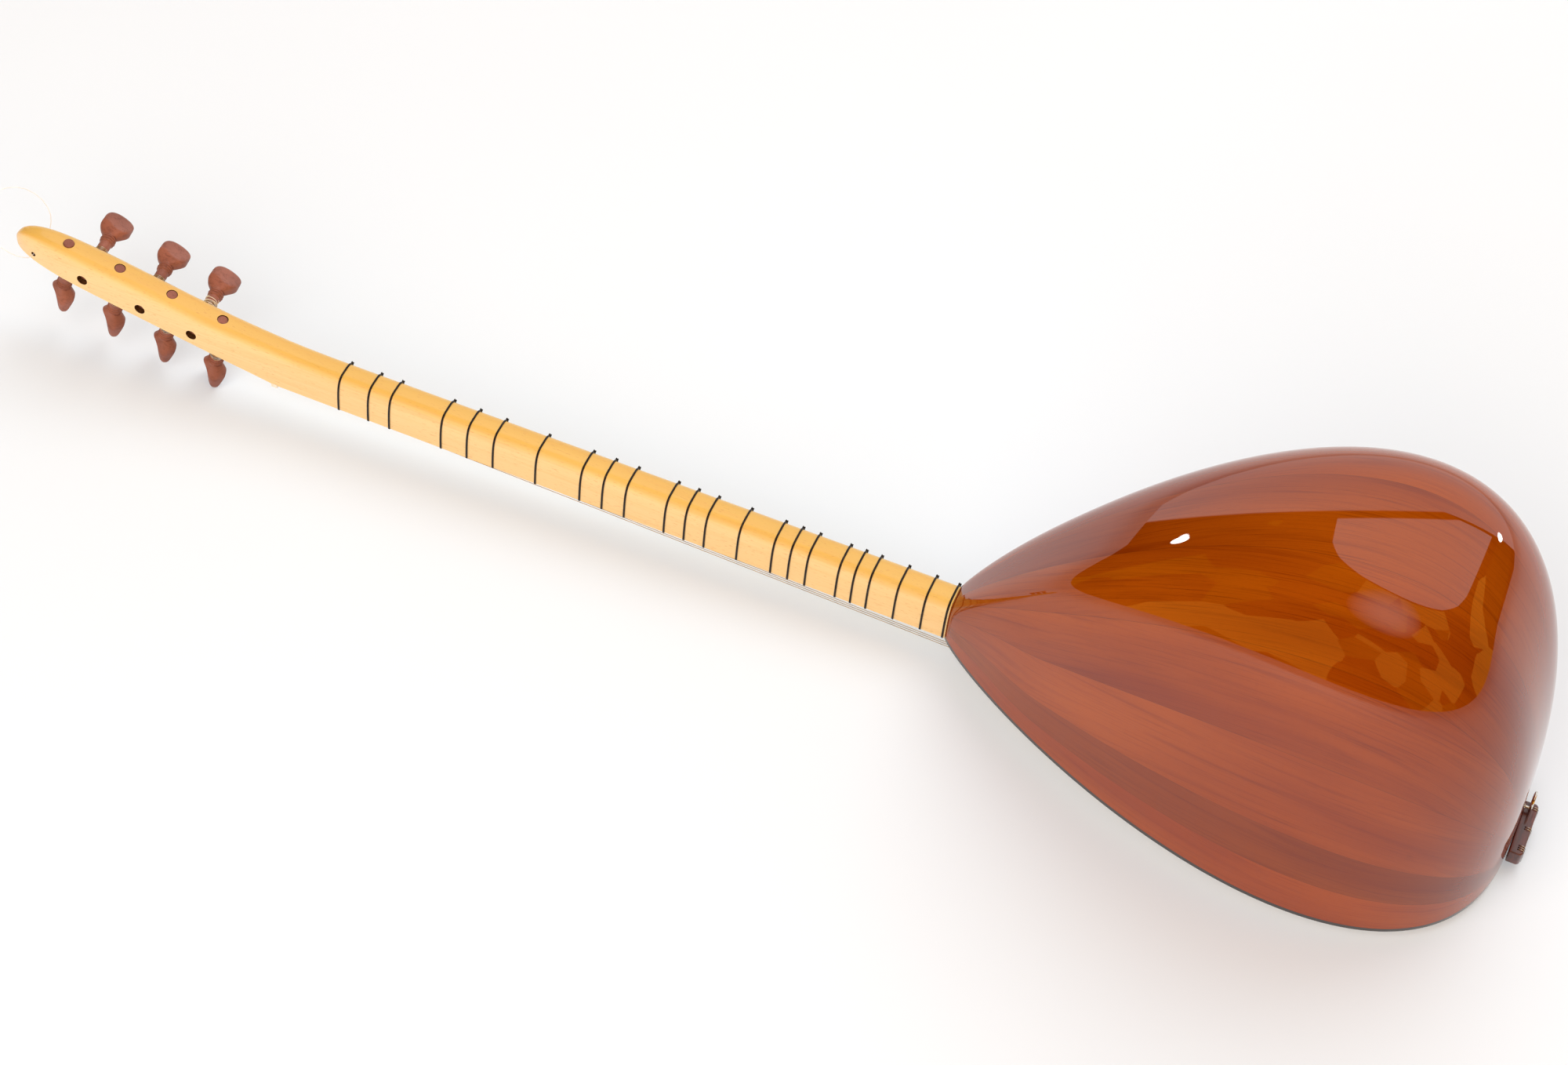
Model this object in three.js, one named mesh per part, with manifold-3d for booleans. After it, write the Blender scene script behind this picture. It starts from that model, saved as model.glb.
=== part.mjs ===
// Long-neck baglama saz, lying on its face: +X runs from the nut to the tail, +Y is the side
// the three side pegs stand on, +Z is the back of the bowl. Millimetres.
// The origin is on the flat rim of the face, at the tail end of the bowl, on the centre line.
// Every shape below is written with x measured from the nut and moved to the origin at the end.

import * as THREE from 'three';
import * as BufferGeometryUtils from 'three/addons/utils/BufferGeometryUtils.js';
import Module from 'manifold-3d';

// ---------------------------------------------------------------- driving dimensions

const GAP = 0.3;                 // air between neighbouring pieces
const SCALE = 880;               // nut to bridge
const NECK_LENGTH = 551.8;       // nut to neck joint
const BOWL_LENGTH = 431.2;
const BOWL_HALF_WIDTH = 133;
const BOWL_DEPTH = 270;
const BOWL_SQUARENESS = 0.52;    // exponents of the bowl's section, across and in height
const BOWL_ROUNDNESS = 0.78;
const SHELL = 3;                 // stave thickness
const ORIGIN_FROM_NUT = 982;     // on the rim of the face at the tail

const NECK_WIDTH = { nut: 25, joint: 29 };
const NECK_DEPTH = { nut: 31.5, joint: 35 };
const NECK_SQUARENESS = 0.51;    // exponent of the D section: 1 is round, 0 is square

const HEAD_TILT = 10.2 * Math.PI / 180;
const HEAD_LENGTH = 229;
const HEAD_WIDTH = 26;
const HEAD_DEPTH = 29;
const HEAD_TIP_TAPER = 85;       // length over which the head narrows to its tip

const BOARD = 3.2;               // soundboard thickness
const BINDING_WIDTH = 2;
const BINDING_HEIGHT = 3.5;

const TAIL_END_T = Math.PI - 0.08; // where the staves stop at the tail block
const TAIL_BLOCK_LENGTH = 22;
const TAIL_FIT = 0.5;            // room round the tail block
const BLOCK_FIT = 1.3;           // room for glue between the neck block and the staves
const TENON = { length: 30, halfWidth: 6.5, low: 8, high: 26 };
const BAR = { place: 0.42, reach: 105, low: 3, high: 13, thickness: 7 }; // brace under the face

const STRING_RADIUS = 0.25;
const BRIDGE_HEIGHT = 10;
const BRIDGE = { half: 29, foot: 12, arch: 4.5, thickness: 5, waist: 5 };
const NUT_HEIGHT = 2;
const NUT = { length: 5, depth: 1.2, overhang: 0.6 };

const TAIL_SPREAD = 1.02;        // string places at the tailpiece against those at the bridge
const TAILPIECE = { length: 48, width: 10.2, low: -2, high: 11, round: 3 };
const EYE = { y: 15.5, z: 14.6, wire: 1.1, ring: 6.2, standOff: 5, depth: 15, lean: 0.55 };

// Intervals above the open string of the 23 tied frets, nut side first.
const FRET_RATIOS = [
  16 / 15, 11 / 10, 9 / 8, 81 / 68, 27 / 22, 81 / 64, 4 / 3, 24 / 17,
  16 / 11, 3 / 2, 27 / 17, 18 / 11, 27 / 16, 16 / 9, 32 / 17, 64 / 33,
  2, 36 / 17, 24 / 11, 9 / 4, 81 / 34, 81 / 32, 8 / 3,
];
const FRET = { width: 1.6, thickness: 0.9 };

// Pegs: distance of each from the nut along the head; depth is the small end's place.
const FRONT_PEGS = [54.8, 98.4, 143.2, 187.3];
const SIDE_PEGS = [73.9, 118.2, 168];
const SIDE_PEG_HEIGHT = 9.8;     // above the front face of the head
const FRONT_PEG_END = 28.2;      // small end, flush with the back of the head
const SIDE_PEG_END = -8.5;       // small end, a little inside the -Y side of the head
const PEG = { small: 4.1, large: 4.9, collar: 6.2, knobWidth: 24, knobThick: 13, knobHeight: 23.5 };
const PEG_TAPER = 40;            // length over which the shank widens from small to large
const PEG_CLEARANCE = 0.5;
const PEG_BORE = 44;
const FRONT_PEG_STAND = 17.3;    // bare shank between head and collar
const SIDE_PEG_STAND = 15;
const SIDE_PEG_LEAN = 3.5 * Math.PI / 180;  // side pegs lean a little towards the tip
const FRONT_KNOB_TURN = 0.75;    // how far the front knobs stand turned from crosswise
const COLLAR_LENGTH = 7;
const ROUND = 12;                // facets round a turned piece

// Stave seams as section angles in degrees, from the -Y edge of the bowl to the middle.
const SEAMS_HALF = [0, 5, 12.6, 30.2, 55, 84.8];

// String places across the neck at the nut and at the bridge, +Y to -Y: courses of 2, 2 and 3.
const STRINGS = [
  { nut: 8.4, bridge: 19.5, side: 0 },
  { nut: 6.9, bridge: 17.7, side: 1 },
  { nut: 1.8, bridge: 0.9, side: 2 },
  { nut: 0.3, bridge: -0.9, front: 0 },
  { nut: -5.4, bridge: -15.9, front: 1 },
  { nut: -6.9, bridge: -17.7, front: 2 },
  { nut: -8.4, bridge: -19.5, front: 3 },
];
const FRONT_WINDING = [14, 12, 10, 8]; // where the string meets each front peg, below the head
const WINDING = { width: 5, thickness: 0.8 };

// ---------------------------------------------------------------- helpers

const wasm = await Module();
wasm.setup();

const lerp = THREE.MathUtils.lerp;
const smooth = THREE.MathUtils.smoothstep;
const span = (count) => Array.from({ length: count }, (_, i) => i / (count - 1));
const vec = (x, y, z) => new THREE.Vector3(x, y, z);

function toSolid(geometry) {
  const bare = geometry.clone();
  bare.deleteAttribute('normal');
  bare.deleteAttribute('uv');
  const merged = BufferGeometryUtils.mergeVertices(bare, 1e-4);
  return new wasm.Manifold(new wasm.Mesh({
    numProp: 3,
    vertProperties: new Float32Array(merged.attributes.position.array),
    triVerts: new Uint32Array(merged.index.array),
  }));
}

function toGeometry(solid) {
  const mesh = solid.getMesh();
  const geometry = new THREE.BufferGeometry();
  geometry.setAttribute('position', new THREE.BufferAttribute(mesh.vertProperties, 3));
  geometry.setIndex(new THREE.BufferAttribute(mesh.triVerts, 1));
  geometry.computeVertexNormals();
  return geometry;
}

// Closed body through rings of points that all have the same count. Each end is closed by a
// zigzag between the first and the second half of its ring, which suits thin curved shells too.
function loft(rings) {
  const count = rings[0].length;
  const points = rings.flat();
  const index = [];
  for (let r = 0; r + 1 < rings.length; r++) {
    for (let i = 0; i < count; i++) {
      const a = r * count + i;
      const b = r * count + (i + 1) % count;
      index.push(a, a + count, b, b, a + count, b + count);
    }
  }
  const last = (rings.length - 1) * count;
  const closeEnds = (a, b, c) => {
    index.push(a, b, c);
    index.push(last + a, last + c, last + b);
  };
  for (let a = 0, d = count - 1; d - a > 1; a++, d--) {
    closeEnds(a, a + 1, d);
    if (d - a > 2) closeEnds(a + 1, d - 1, d);
  }
  const geometry = new THREE.BufferGeometry().setFromPoints(points);
  geometry.setIndex(index);
  geometry.computeVertexNormals();
  return geometry;
}

function box(x0, x1, y0, y1, z0, z1) {
  const geometry = new THREE.BoxGeometry(x1 - x0, y1 - y0, z1 - z0);
  return geometry.translate((x0 + x1) / 2, (y0 + y1) / 2, (z0 + z1) / 2);
}

// Round tube along a list of corner points.
function tube(corners, radius, sides) {
  const up = vec(0.3, 0.2, 1).normalize();
  const rings = corners.map((corner, i) => {
    const before = corners[Math.max(i - 1, 0)];
    const after = corners[Math.min(i + 1, corners.length - 1)];
    const along = after.clone().sub(before).normalize();
    const side = along.clone().cross(up).normalize();
    const over = side.clone().cross(along);
    return Array.from({ length: sides }, (_, k) => {
      const a = 2 * Math.PI * k / sides;
      return corner.clone()
        .addScaledVector(side, radius * Math.cos(a))
        .addScaledVector(over, radius * Math.sin(a));
    });
  });
  return loft(rings);
}

// Flat outline in X and Y, given thickness in Z.
function plate(outline, z0, z1) {
  const shape = new THREE.Shape(outline.map((p) => new THREE.Vector2(p.x, p.y)));
  const geometry = new THREE.ExtrudeGeometry(shape, { depth: z1 - z0, bevelEnabled: false });
  return geometry.translate(0, 0, z0);
}

// ---------------------------------------------------------------- bowl surface

const peak = (power, tailPower) => {
  const values = span(400).map((v) => Math.PI * v)
    .map((t) => Math.sin(t) ** power * Math.sin(t / 2) ** tailPower);
  return Math.max(...values);
};
const PLAN = { power: 0.7575, tail: 0.972 };
const SIDE = { power: 0.836, tail: 0.983 };
PLAN.peak = peak(PLAN.power, PLAN.tail);
SIDE.peak = peak(SIDE.power, SIDE.tail);

// A bowl station for t from 0 at the neck joint to PI at the tail.
function station(t, inset = 0) {
  const s = (1 - Math.cos(t)) / 2;
  const wave = (form) => Math.sin(t) ** form.power * Math.sin(t / 2) ** form.tail / form.peak;
  const heel = (1 - s) ** 3;
  const trim = inset * (1 - s ** 12);
  return {
    x: NECK_LENGTH + (BOWL_LENGTH - inset) * s,
    halfWidth: BOWL_HALF_WIDTH * wave(PLAN) + NECK_WIDTH.joint / 2 * heel - trim,
    depth: BOWL_DEPTH * wave(SIDE) + NECK_DEPTH.joint * heel - trim,
    rise: lerp(NECK_SQUARENESS, BOWL_ROUNDNESS, smooth(s, 0, 0.2)),
  };
}

function bowlPoint(st, angle) {
  const c = Math.cos(angle);
  const y = -st.halfWidth * Math.sign(c) * Math.abs(c) ** BOWL_SQUARENESS;
  const z = st.depth * Math.abs(Math.sin(angle)) ** st.rise;
  return vec(st.x, y, z);
}

// Section angle at which the bowl surface is a given height above the soundboard face.
const angleAtHeight = (st, height) => Math.asin(Math.min(height / st.depth, 1) ** (1 / st.rise));

// Closed D section of the bowl above a flat floor.
function dSection(st, floor, count) {
  const low = angleAtHeight(st, floor);
  return span(count).map((v) => bowlPoint(st, lerp(low, Math.PI - low, v)));
}

// ---------------------------------------------------------------- bowl pieces

const seams = [...SEAMS_HALF, ...SEAMS_HALF.map((a) => 180 - a).reverse()]
  .map((a) => a * Math.PI / 180);
const RIM = BINDING_HEIGHT + GAP;

// Points of one stave across its width; the two outer ones stand back to leave the seam open.
function staveRow(st, from, to, cells) {
  const low = angleAtHeight(st, RIM);
  const a = Math.max(from, low);
  const b = Math.min(to, Math.PI - low);
  const row = span(cells + 1).map((v) => bowlPoint(st, lerp(a, b, v)));
  const shift = (edge, next) => edge.addScaledVector(next.clone().sub(edge).normalize(), GAP / 2);
  if (from > low) shift(row[0], row[1]);
  if (to < Math.PI - low) shift(row[cells], row[cells - 1]);
  return row;
}

const staveCells = (index) => (seams[index + 1] - seams[index] < 0.2 ? 2 : 3);

function stave(index) {
  const from = seams[index];
  const to = seams[index + 1];
  const cells = staveCells(index);
  const rings = span(15).map((v) => {
    const t = lerp(0, TAIL_END_T, v);
    const outer = staveRow(station(t), from, to, cells);
    const inner = staveRow(station(t, SHELL), from, to, cells);
    outer.forEach((p) => { p.x = Math.max(p.x, NECK_LENGTH + GAP); });
    inner.forEach((p) => { p.x = Math.max(p.x, NECK_LENGTH + GAP); });
    return [...outer, ...inner.reverse()];
  });
  return loft(rings);
}

// The tail block fills the round that the stave ends leave, so it takes its corners from them.
function tailBlock() {
  const end = station(TAIL_END_T, SHELL);
  end.halfWidth -= TAIL_FIT;
  end.depth -= TAIL_FIT;
  const low = angleAtHeight(end, RIM);
  const angles = [low];
  for (let i = 0; i + 1 < seams.length; i++) {
    const cells = staveCells(i);
    for (let k = 1; k <= cells; k++) angles.push(lerp(seams[i], seams[i + 1], k / cells));
  }
  const kept = angles.filter((a) => a >= low && a < Math.PI - low);
  const front = [...kept, Math.PI - low].map((a) => bowlPoint(end, a));
  const back = front.map((p) => p.clone());
  front.forEach((p) => { p.x = NECK_LENGTH + BOWL_LENGTH; });
  back.forEach((p) => { p.x = NECK_LENGTH + BOWL_LENGTH - TAIL_BLOCK_LENGTH; });
  const bore = new THREE.CylinderGeometry(EYE.wire + 0.4, EYE.wire + 0.4, EYE.depth + 6, ROUND);
  bore.rotateZ(Math.PI / 2).translate(front[0].x - EYE.depth / 2 + 2, EYE.y, EYE.z);
  return toGeometry(toSolid(loft([back, front])).subtract(toSolid(bore)));
}

function neckBlock() {
  const rings = span(4).map((v) => {
    const st = station(lerp(0, 0.75, v), SHELL + BLOCK_FIT);
    st.x = Math.max(st.x, NECK_LENGTH + GAP);
    return dSection(st, BOARD + GAP, 12);
  });
  const wide = TENON.halfWidth + GAP;
  const mortise = box(NECK_LENGTH - 5, NECK_LENGTH + TENON.length + GAP,
    -wide, wide, TENON.low - GAP, TENON.high + GAP);
  return toGeometry(toSolid(loft(rings)).subtract(toSolid(mortise)));
}

// Outline of the bowl edge stood back by a distance, from the joint round the tail and back.
function edgeOutline(back, count) {
  const ts = span(count).map((v) => lerp(0, Math.PI, v));
  const half = ts.map((t) => {
    const st = station(t, back);
    return vec(Math.max(st.x, NECK_LENGTH + GAP), st.halfWidth, 0);
  });
  const mirrored = half.slice(0, -1).reverse().map((p) => vec(p.x, -p.y, 0));
  return [...half, ...mirrored];
}

function soundboard() {
  return plate(edgeOutline(BINDING_WIDTH + GAP, 25).reverse(), 0, BOARD);
}

function binding() {
  const outer = edgeOutline(0, 25);
  const inner = edgeOutline(BINDING_WIDTH, 25);
  return plate([...outer, ...inner.reverse()], 0, BINDING_HEIGHT);
}

function soundboardBar() {
  const { place, reach, low, high, thickness } = BAR;
  const profile = new THREE.Shape();
  profile.moveTo(-reach, 0);
  profile.lineTo(reach, 0);
  profile.lineTo(reach, low);
  profile.quadraticCurveTo(reach * 0.7, high - 1, 0, high);
  profile.quadraticCurveTo(-reach * 0.7, high - 1, -reach, low);
  const options = { depth: thickness, bevelEnabled: false, curveSegments: 4 };
  const bar = new THREE.ExtrudeGeometry(profile, options);
  return bar.rotateX(Math.PI / 2).rotateZ(Math.PI / 2)
    .translate(NECK_LENGTH + place * BOWL_LENGTH, 0, BOARD + GAP);
}

// ---------------------------------------------------------------- neck and head

// Half width, depth and front height of the stick at a distance x from the nut.
function stick(x) {
  const bend = 18;
  const front = Math.max(-x, 0) * Math.tan(HEAD_TILT);
  const along = THREE.MathUtils.clamp(x / NECK_LENGTH, 0, 1);
  const onHead = smooth(-x, 0, 60);
  const fill = Math.tan(HEAD_TILT) * (bend * Math.log(1 + Math.exp(-x / bend)) - Math.max(-x, 0));
  const toTip = HEAD_LENGTH * Math.cos(HEAD_TILT) + x;
  const tip = THREE.MathUtils.clamp(1 - toTip / HEAD_TIP_TAPER, 0, 1);
  const roundOff = Math.sqrt(1 - tip ** 3);
  const thinOff = lerp(Math.sqrt(1 - tip ** 5), 1, 0.15);
  const width = lerp(lerp(NECK_WIDTH.nut, NECK_WIDTH.joint, along), HEAD_WIDTH, onHead);
  const depth = lerp(lerp(NECK_DEPTH.nut, NECK_DEPTH.joint, along), HEAD_DEPTH, onHead) + fill;
  return {
    halfWidth: width / 2 * lerp(roundOff, 1, 0.05),
    depth: depth * thinOff - 2.5 * tip,
    front: front + depth * 0.22 * (1 - thinOff),
  };
}

const D_ANGLES = [0, 4, 14, 30, 50, 70, 90].map((a) => a * Math.PI / 180);
const D_ROUND = [...D_ANGLES, ...D_ANGLES.slice(0, -1).map((a) => Math.PI - a).reverse()];

// D outline in Y and Z standing off the stick by a distance.
function stickSection(x, off) {
  const at = stick(x);
  const reach = at.halfWidth + off;
  const back = D_ROUND.map((a) => {
    const c = Math.cos(a);
    const y = -reach * Math.sign(c) * Math.abs(c) ** NECK_SQUARENESS;
    return vec(x, y, at.front + (at.depth + off) * Math.sin(a) ** NECK_SQUARENESS);
  });
  if (off === 0) return back;
  return [vec(x, -reach, at.front - off), ...back, vec(x, reach, at.front - off)];
}

// Point given along the head from the nut, above its front face, and across.
function onHead(s, height, y) {
  const x = -s * Math.cos(HEAD_TILT) + height * Math.sin(HEAD_TILT);
  return vec(x, y, s * Math.sin(HEAD_TILT) + height * Math.cos(HEAD_TILT));
}

const pegRadius = (u) => lerp(PEG.small, PEG.large, THREE.MathUtils.clamp(u / PEG_TAPER, 0, 1));

// Placement of a piece whose own +Y is the peg axis, from the small end to the knob.
function placeFrontPeg(geometry, s, depth) {
  const end = onHead(s, depth, 0);
  return geometry.rotateX(-Math.PI / 2).rotateY(HEAD_TILT).translate(end.x, end.y, end.z);
}

function placeSidePeg(geometry, s, depth) {
  const end = onHead(s, SIDE_PEG_HEIGHT, depth);
  const lean = Math.tan(SIDE_PEG_LEAN) * depth * Math.cos(HEAD_TILT);
  return geometry.rotateZ(SIDE_PEG_LEAN).rotateY(HEAD_TILT)
    .translate(end.x - lean, end.y, end.z);
}

function pegBore(length) {
  const wide = pegRadius(length) + PEG_CLEARANCE;
  const narrow = PEG.small + PEG_CLEARANCE;
  return new THREE.CylinderGeometry(wide, narrow, length, ROUND).translate(0, length / 2, 0);
}

const LOOP_RADIUS = 0.35;        // nylon line of the hanging loop
const HANG_HOLE = { fromTip: 18, height: 7.5, radius: 2 };

function neck() {
  const stations = [
    ...span(7).map((v) => lerp(NECK_LENGTH, 60, v)),
    30, 8, -12, -35, -60, -100,
    ...span(9).map((v) => HEAD_TIP_TAPER * (1 - Math.sin(Math.PI / 2 * v)))
      .map((fromTip) => fromTip - HEAD_LENGTH * Math.cos(HEAD_TILT)),
  ].reverse();
  let wood = toSolid(loft(stations.map((x) => stickSection(x, 0))));
  wood = wood.add(toSolid(box(NECK_LENGTH - 4, NECK_LENGTH + TENON.length,
    -TENON.halfWidth, TENON.halfWidth, TENON.low, TENON.high)));
  wood = wood.subtract(toSolid(box(-NUT.length / 2 - GAP, NUT.length / 2 + GAP,
    -NECK_WIDTH.nut, NECK_WIDTH.nut, -5, NUT.depth + GAP)));
  for (const s of FRONT_PEGS) {
    wood = wood.subtract(toSolid(placeFrontPeg(pegBore(PEG_BORE).translate(0, -6, 0), s, FRONT_PEG_END)));
  }
  for (const s of SIDE_PEGS) {
    wood = wood.subtract(toSolid(placeSidePeg(pegBore(PEG_BORE).translate(0, -12, 0), s, SIDE_PEG_END)));
  }
  const hole = new THREE.CylinderGeometry(HANG_HOLE.radius, HANG_HOLE.radius, 40, ROUND);
  const at = onHead(HEAD_LENGTH - HANG_HOLE.fromTip, HANG_HOLE.height, 0);
  return toGeometry(wood.subtract(toSolid(hole.translate(at.x, at.y, at.z))));
}

function nut() {
  const half = NECK_WIDTH.nut / 2 + NUT.overhang;
  return box(-NUT.length / 2, NUT.length / 2, -half, half, -NUT_HEIGHT, NUT.depth);
}

// ---------------------------------------------------------------- pegs and frets

// Turned peg along +Y: shank from its small end, two-bead collar, flattened knob.
function peg(shank, knobTurn) {
  const collar = shank + COLLAR_LENGTH;
  const profile = [
    [0, 0], [pegRadius(0), 0], [pegRadius(shank), shank],
    [PEG.collar, shank + 1.2], [PEG.collar, shank + 2.6], [PEG.large, shank + 3.4],
    [PEG.collar, shank + 4.4], [PEG.collar * 0.8, collar], [PEG.collar * 0.8, collar + 3],
    [0, collar + 3],
  ].map(([r, u]) => new THREE.Vector2(r, u));
  const turned = new THREE.LatheGeometry(profile, ROUND);
  const knob = new THREE.SphereGeometry(0.5, 12, 9);
  knob.scale(PEG.knobWidth, PEG.knobHeight, PEG.knobThick);
  knob.rotateY(knobTurn).translate(0, collar + PEG.knobHeight / 2, 0);
  return toGeometry(toSolid(turned).add(toSolid(knob)));
}

const frontShank = FRONT_PEG_END + FRONT_PEG_STAND;
const sideShank = HEAD_WIDTH / 2 - SIDE_PEG_END + SIDE_PEG_STAND;

const fretPlace = (ratio) => SCALE * (1 - 1 / ratio);

function fret(x) {
  const ring = (off) => stickSection(x, off).map((p) => new THREE.Vector2(p.y, p.z));
  const shape = new THREE.Shape(ring(GAP + FRET.thickness));
  shape.holes.push(new THREE.Path(ring(GAP + 0.05).reverse()));
  const band = new THREE.ExtrudeGeometry(shape, { depth: FRET.width, bevelEnabled: false });
  return band.rotateX(Math.PI / 2).rotateZ(Math.PI / 2).translate(x - FRET.width / 2, 0, 0);
}

// ---------------------------------------------------------------- strings and fittings

function winding(inner) {
  const outer = inner + WINDING.thickness;
  const half = WINDING.width / 2;
  const profile = [[inner, -half], [outer, -half], [outer, half], [inner, half], [inner, -half]];
  return new THREE.LatheGeometry(profile.map(([r, u]) => new THREE.Vector2(r, u)), ROUND);
}

function string({ nut: yNut, bridge: yBridge, front, side }) {
  const lift = GAP + STRING_RADIUS;
  const tailX = NECK_LENGTH + BOWL_LENGTH;
  const outX = tailX + GAP + TAILPIECE.width + lift;
  const yTail = yBridge * TAIL_SPREAD;
  const corners = [
    vec(tailX + 6, yTail, TAILPIECE.high + lift),
    vec(outX, yTail, TAILPIECE.high + lift),
    vec(outX, yTail, TAILPIECE.low - lift),
    vec(tailX, yTail, TAILPIECE.low - lift),
    vec(SCALE + 2, yBridge, -BRIDGE_HEIGHT - lift),
    vec(SCALE - 2, yBridge, -BRIDGE_HEIGHT - lift),
    vec(2, yNut, -NUT_HEIGHT - lift),
    vec(-3, yNut, -NUT_HEIGHT - lift),
  ];
  let coil;
  if (front !== undefined) {
    const s = FRONT_PEGS[front];
    const height = -FRONT_WINDING[front];
    const inner = pegRadius(FRONT_PEG_END - height) + PEG_CLEARANCE;
    corners.push(onHead(s - 1, height, -inner - WINDING.thickness / 2));
    coil = placeFrontPeg(winding(inner), s, height);
  } else {
    const s = SIDE_PEGS[side];
    const across = HEAD_WIDTH / 2 + 6;
    const inner = pegRadius(across - SIDE_PEG_END) + PEG_CLEARANCE;
    corners.push(onHead(s - 16, -1.4, HEAD_WIDTH / 2 + 1));
    corners.push(onHead(s - 1, SIDE_PEG_HEIGHT - inner - WINDING.thickness / 2, across));
    coil = placeSidePeg(winding(inner), s, across);
  }
  return toGeometry(toSolid(tube(corners, STRING_RADIUS, 6)).add(toSolid(coil)));
}

function bridge() {
  const { half, foot, arch, thickness, waist } = BRIDGE;
  const spring = half - foot;
  const side = new THREE.Shape();
  side.moveTo(-half, 0);
  side.lineTo(-spring, 0);
  side.quadraticCurveTo(2 - spring, arch, 0, arch);
  side.quadraticCurveTo(spring - 2, arch, spring, 0);
  side.lineTo(half, 0);
  side.quadraticCurveTo(half - 3, BRIDGE_HEIGHT / 2, half - waist, BRIDGE_HEIGHT - GAP);
  side.lineTo(waist - half, BRIDGE_HEIGHT - GAP);
  side.quadraticCurveTo(3 - half, BRIDGE_HEIGHT / 2, -half, 0);
  const options = { depth: thickness, bevelEnabled: false, curveSegments: 5 };
  const body = new THREE.ExtrudeGeometry(side, options);
  return body.rotateX(-Math.PI / 2).rotateZ(Math.PI / 2).translate(SCALE - thickness / 2, 0, -GAP);
}

function tailpiece() {
  const { length, width, low, high, round } = TAILPIECE;
  const x0 = NECK_LENGTH + BOWL_LENGTH + GAP;
  const half = length / 2;
  const end = new THREE.Shape();
  end.moveTo(-half, 0);
  end.lineTo(half, 0);
  end.lineTo(half, width - round);
  end.absarc(half - round, width - round, round, 0, Math.PI / 2);
  end.lineTo(round - half, width);
  end.absarc(round - half, width - round, round, Math.PI / 2, Math.PI);
  const options = { depth: high - low, bevelEnabled: false, curveSegments: 4 };
  const block = new THREE.ExtrudeGeometry(end, options);
  return block.rotateZ(-Math.PI / 2).translate(x0, 0, low);
}

// Screw eye whose ring is turned up along the tail of the bowl.
function strapEye() {
  const tailX = NECK_LENGTH + BOWL_LENGTH;
  const shankLength = EYE.depth + EYE.standOff;
  const shank = new THREE.CylinderGeometry(EYE.wire, EYE.wire, shankLength, ROUND);
  shank.rotateZ(Math.PI / 2);
  shank.translate(tailX - EYE.depth + shankLength / 2, EYE.y, EYE.z);
  const ring = new THREE.TorusGeometry(EYE.ring, EYE.wire, 8, 20).rotateY(Math.PI / 2);
  ring.translate(tailX + EYE.standOff,
    EYE.y + EYE.ring * Math.sin(EYE.lean), EYE.z + EYE.ring * Math.cos(EYE.lean));
  return toGeometry(toSolid(shank).add(toSolid(ring)));
}

// Thin nylon loop tied through the hang hole, its two ends meeting inside the hole.
function hangLoop() {
  const at = (ahead, up, y) => onHead(HEAD_LENGTH - HANG_HOLE.fromTip + ahead, HANG_HOLE.height + up, y);
  const guide = [
    at(0, 0, -0.6), at(0, 0, -8), at(1, 0, -14), at(9, 0, -18), at(24, 1, -18),
    at(42, 5, -11), at(50, 12, 2), at(46, 20, 15), at(32, 24, 24), at(16, 19, 27),
    at(5, 9, 24), at(1, 2, 16), at(0, 0, 8), at(0, 0, 0.6),
  ];
  const curve = new THREE.CatmullRomCurve3(guide, false, 'centripetal');
  return tube(curve.getPoints(30), LOOP_RADIUS, 6);
}

// ---------------------------------------------------------------- assembly

const bowlWood = { color: 0xa04a22, roughness: 0.2, metalness: 0 };
const beech = { color: 0xe9b768, roughness: 0.35, metalness: 0 };
const spruce = { color: 0xe3c38e, roughness: 0.45, metalness: 0 };
const rosewood = { color: 0x7a4030, roughness: 0.6, metalness: 0 };
const darkWood = { color: 0x4a1a14, roughness: 0.3, metalness: 0 };
const black = { color: 0x14110f, roughness: 0.4, metalness: 0 };
const bone = { color: 0xe8e0cc, roughness: 0.4, metalness: 0 };
const steel = { color: 0xb8b8b8, roughness: 0.3, metalness: 1 };
const clear = { color: 0xe6e6e2, roughness: 0.3, metalness: 0 };

const saz = new THREE.Group();
saz.position.x = -ORIGIN_FROM_NUT;

function add(name, geometry, look) {
  const mesh = new THREE.Mesh(geometry, new THREE.MeshStandardMaterial(look));
  mesh.name = name;
  saz.add(mesh);
}

const twoDigits = (n) => String(n).padStart(2, '0');

add('neck', neck(), beech);
add('neck_block', neckBlock(), beech);
add('tail_block', tailBlock(), bowlWood);
for (let i = 0; i + 1 < seams.length; i++) add(`stave_${twoDigits(i + 1)}`, stave(i), bowlWood);
add('soundboard', soundboard(), spruce);
add('soundboard_bar', soundboardBar(), spruce);
add('binding', binding(), black);
add('nut', nut(), bone);
add('bridge', bridge(), beech);
add('tailpiece', tailpiece(), darkWood);
add('strap_eye', strapEye(), steel);
add('hang_loop', hangLoop(), clear);
FRONT_PEGS.forEach((s, i) => {
  add(`front_peg_${i + 1}`, placeFrontPeg(peg(frontShank, FRONT_KNOB_TURN), s, FRONT_PEG_END), rosewood);
});
SIDE_PEGS.forEach((s, i) => {
  add(`side_peg_${i + 1}`, placeSidePeg(peg(sideShank, 0), s, SIDE_PEG_END), rosewood);
});
FRET_RATIOS.forEach((ratio, i) => add(`fret_${twoDigits(i + 1)}`, fret(fretPlace(ratio)), black));
STRINGS.forEach((course, i) => add(`string_${i + 1}`, string(course), steel));

export default saz;
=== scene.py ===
# Looks of a long-neck baglama saz that lies on its face on a pale studio floor.
# Shapes are worked out in millimetres with x counted from the nut, and put in the frame by at().

from math import asin, atan, copysign, cos, exp, hypot, log, pi, radians, sin, sqrt, tan

import bmesh
import bpy
from mathutils import Matrix, Vector
from mathutils.geometry import interpolate_bezier


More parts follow.
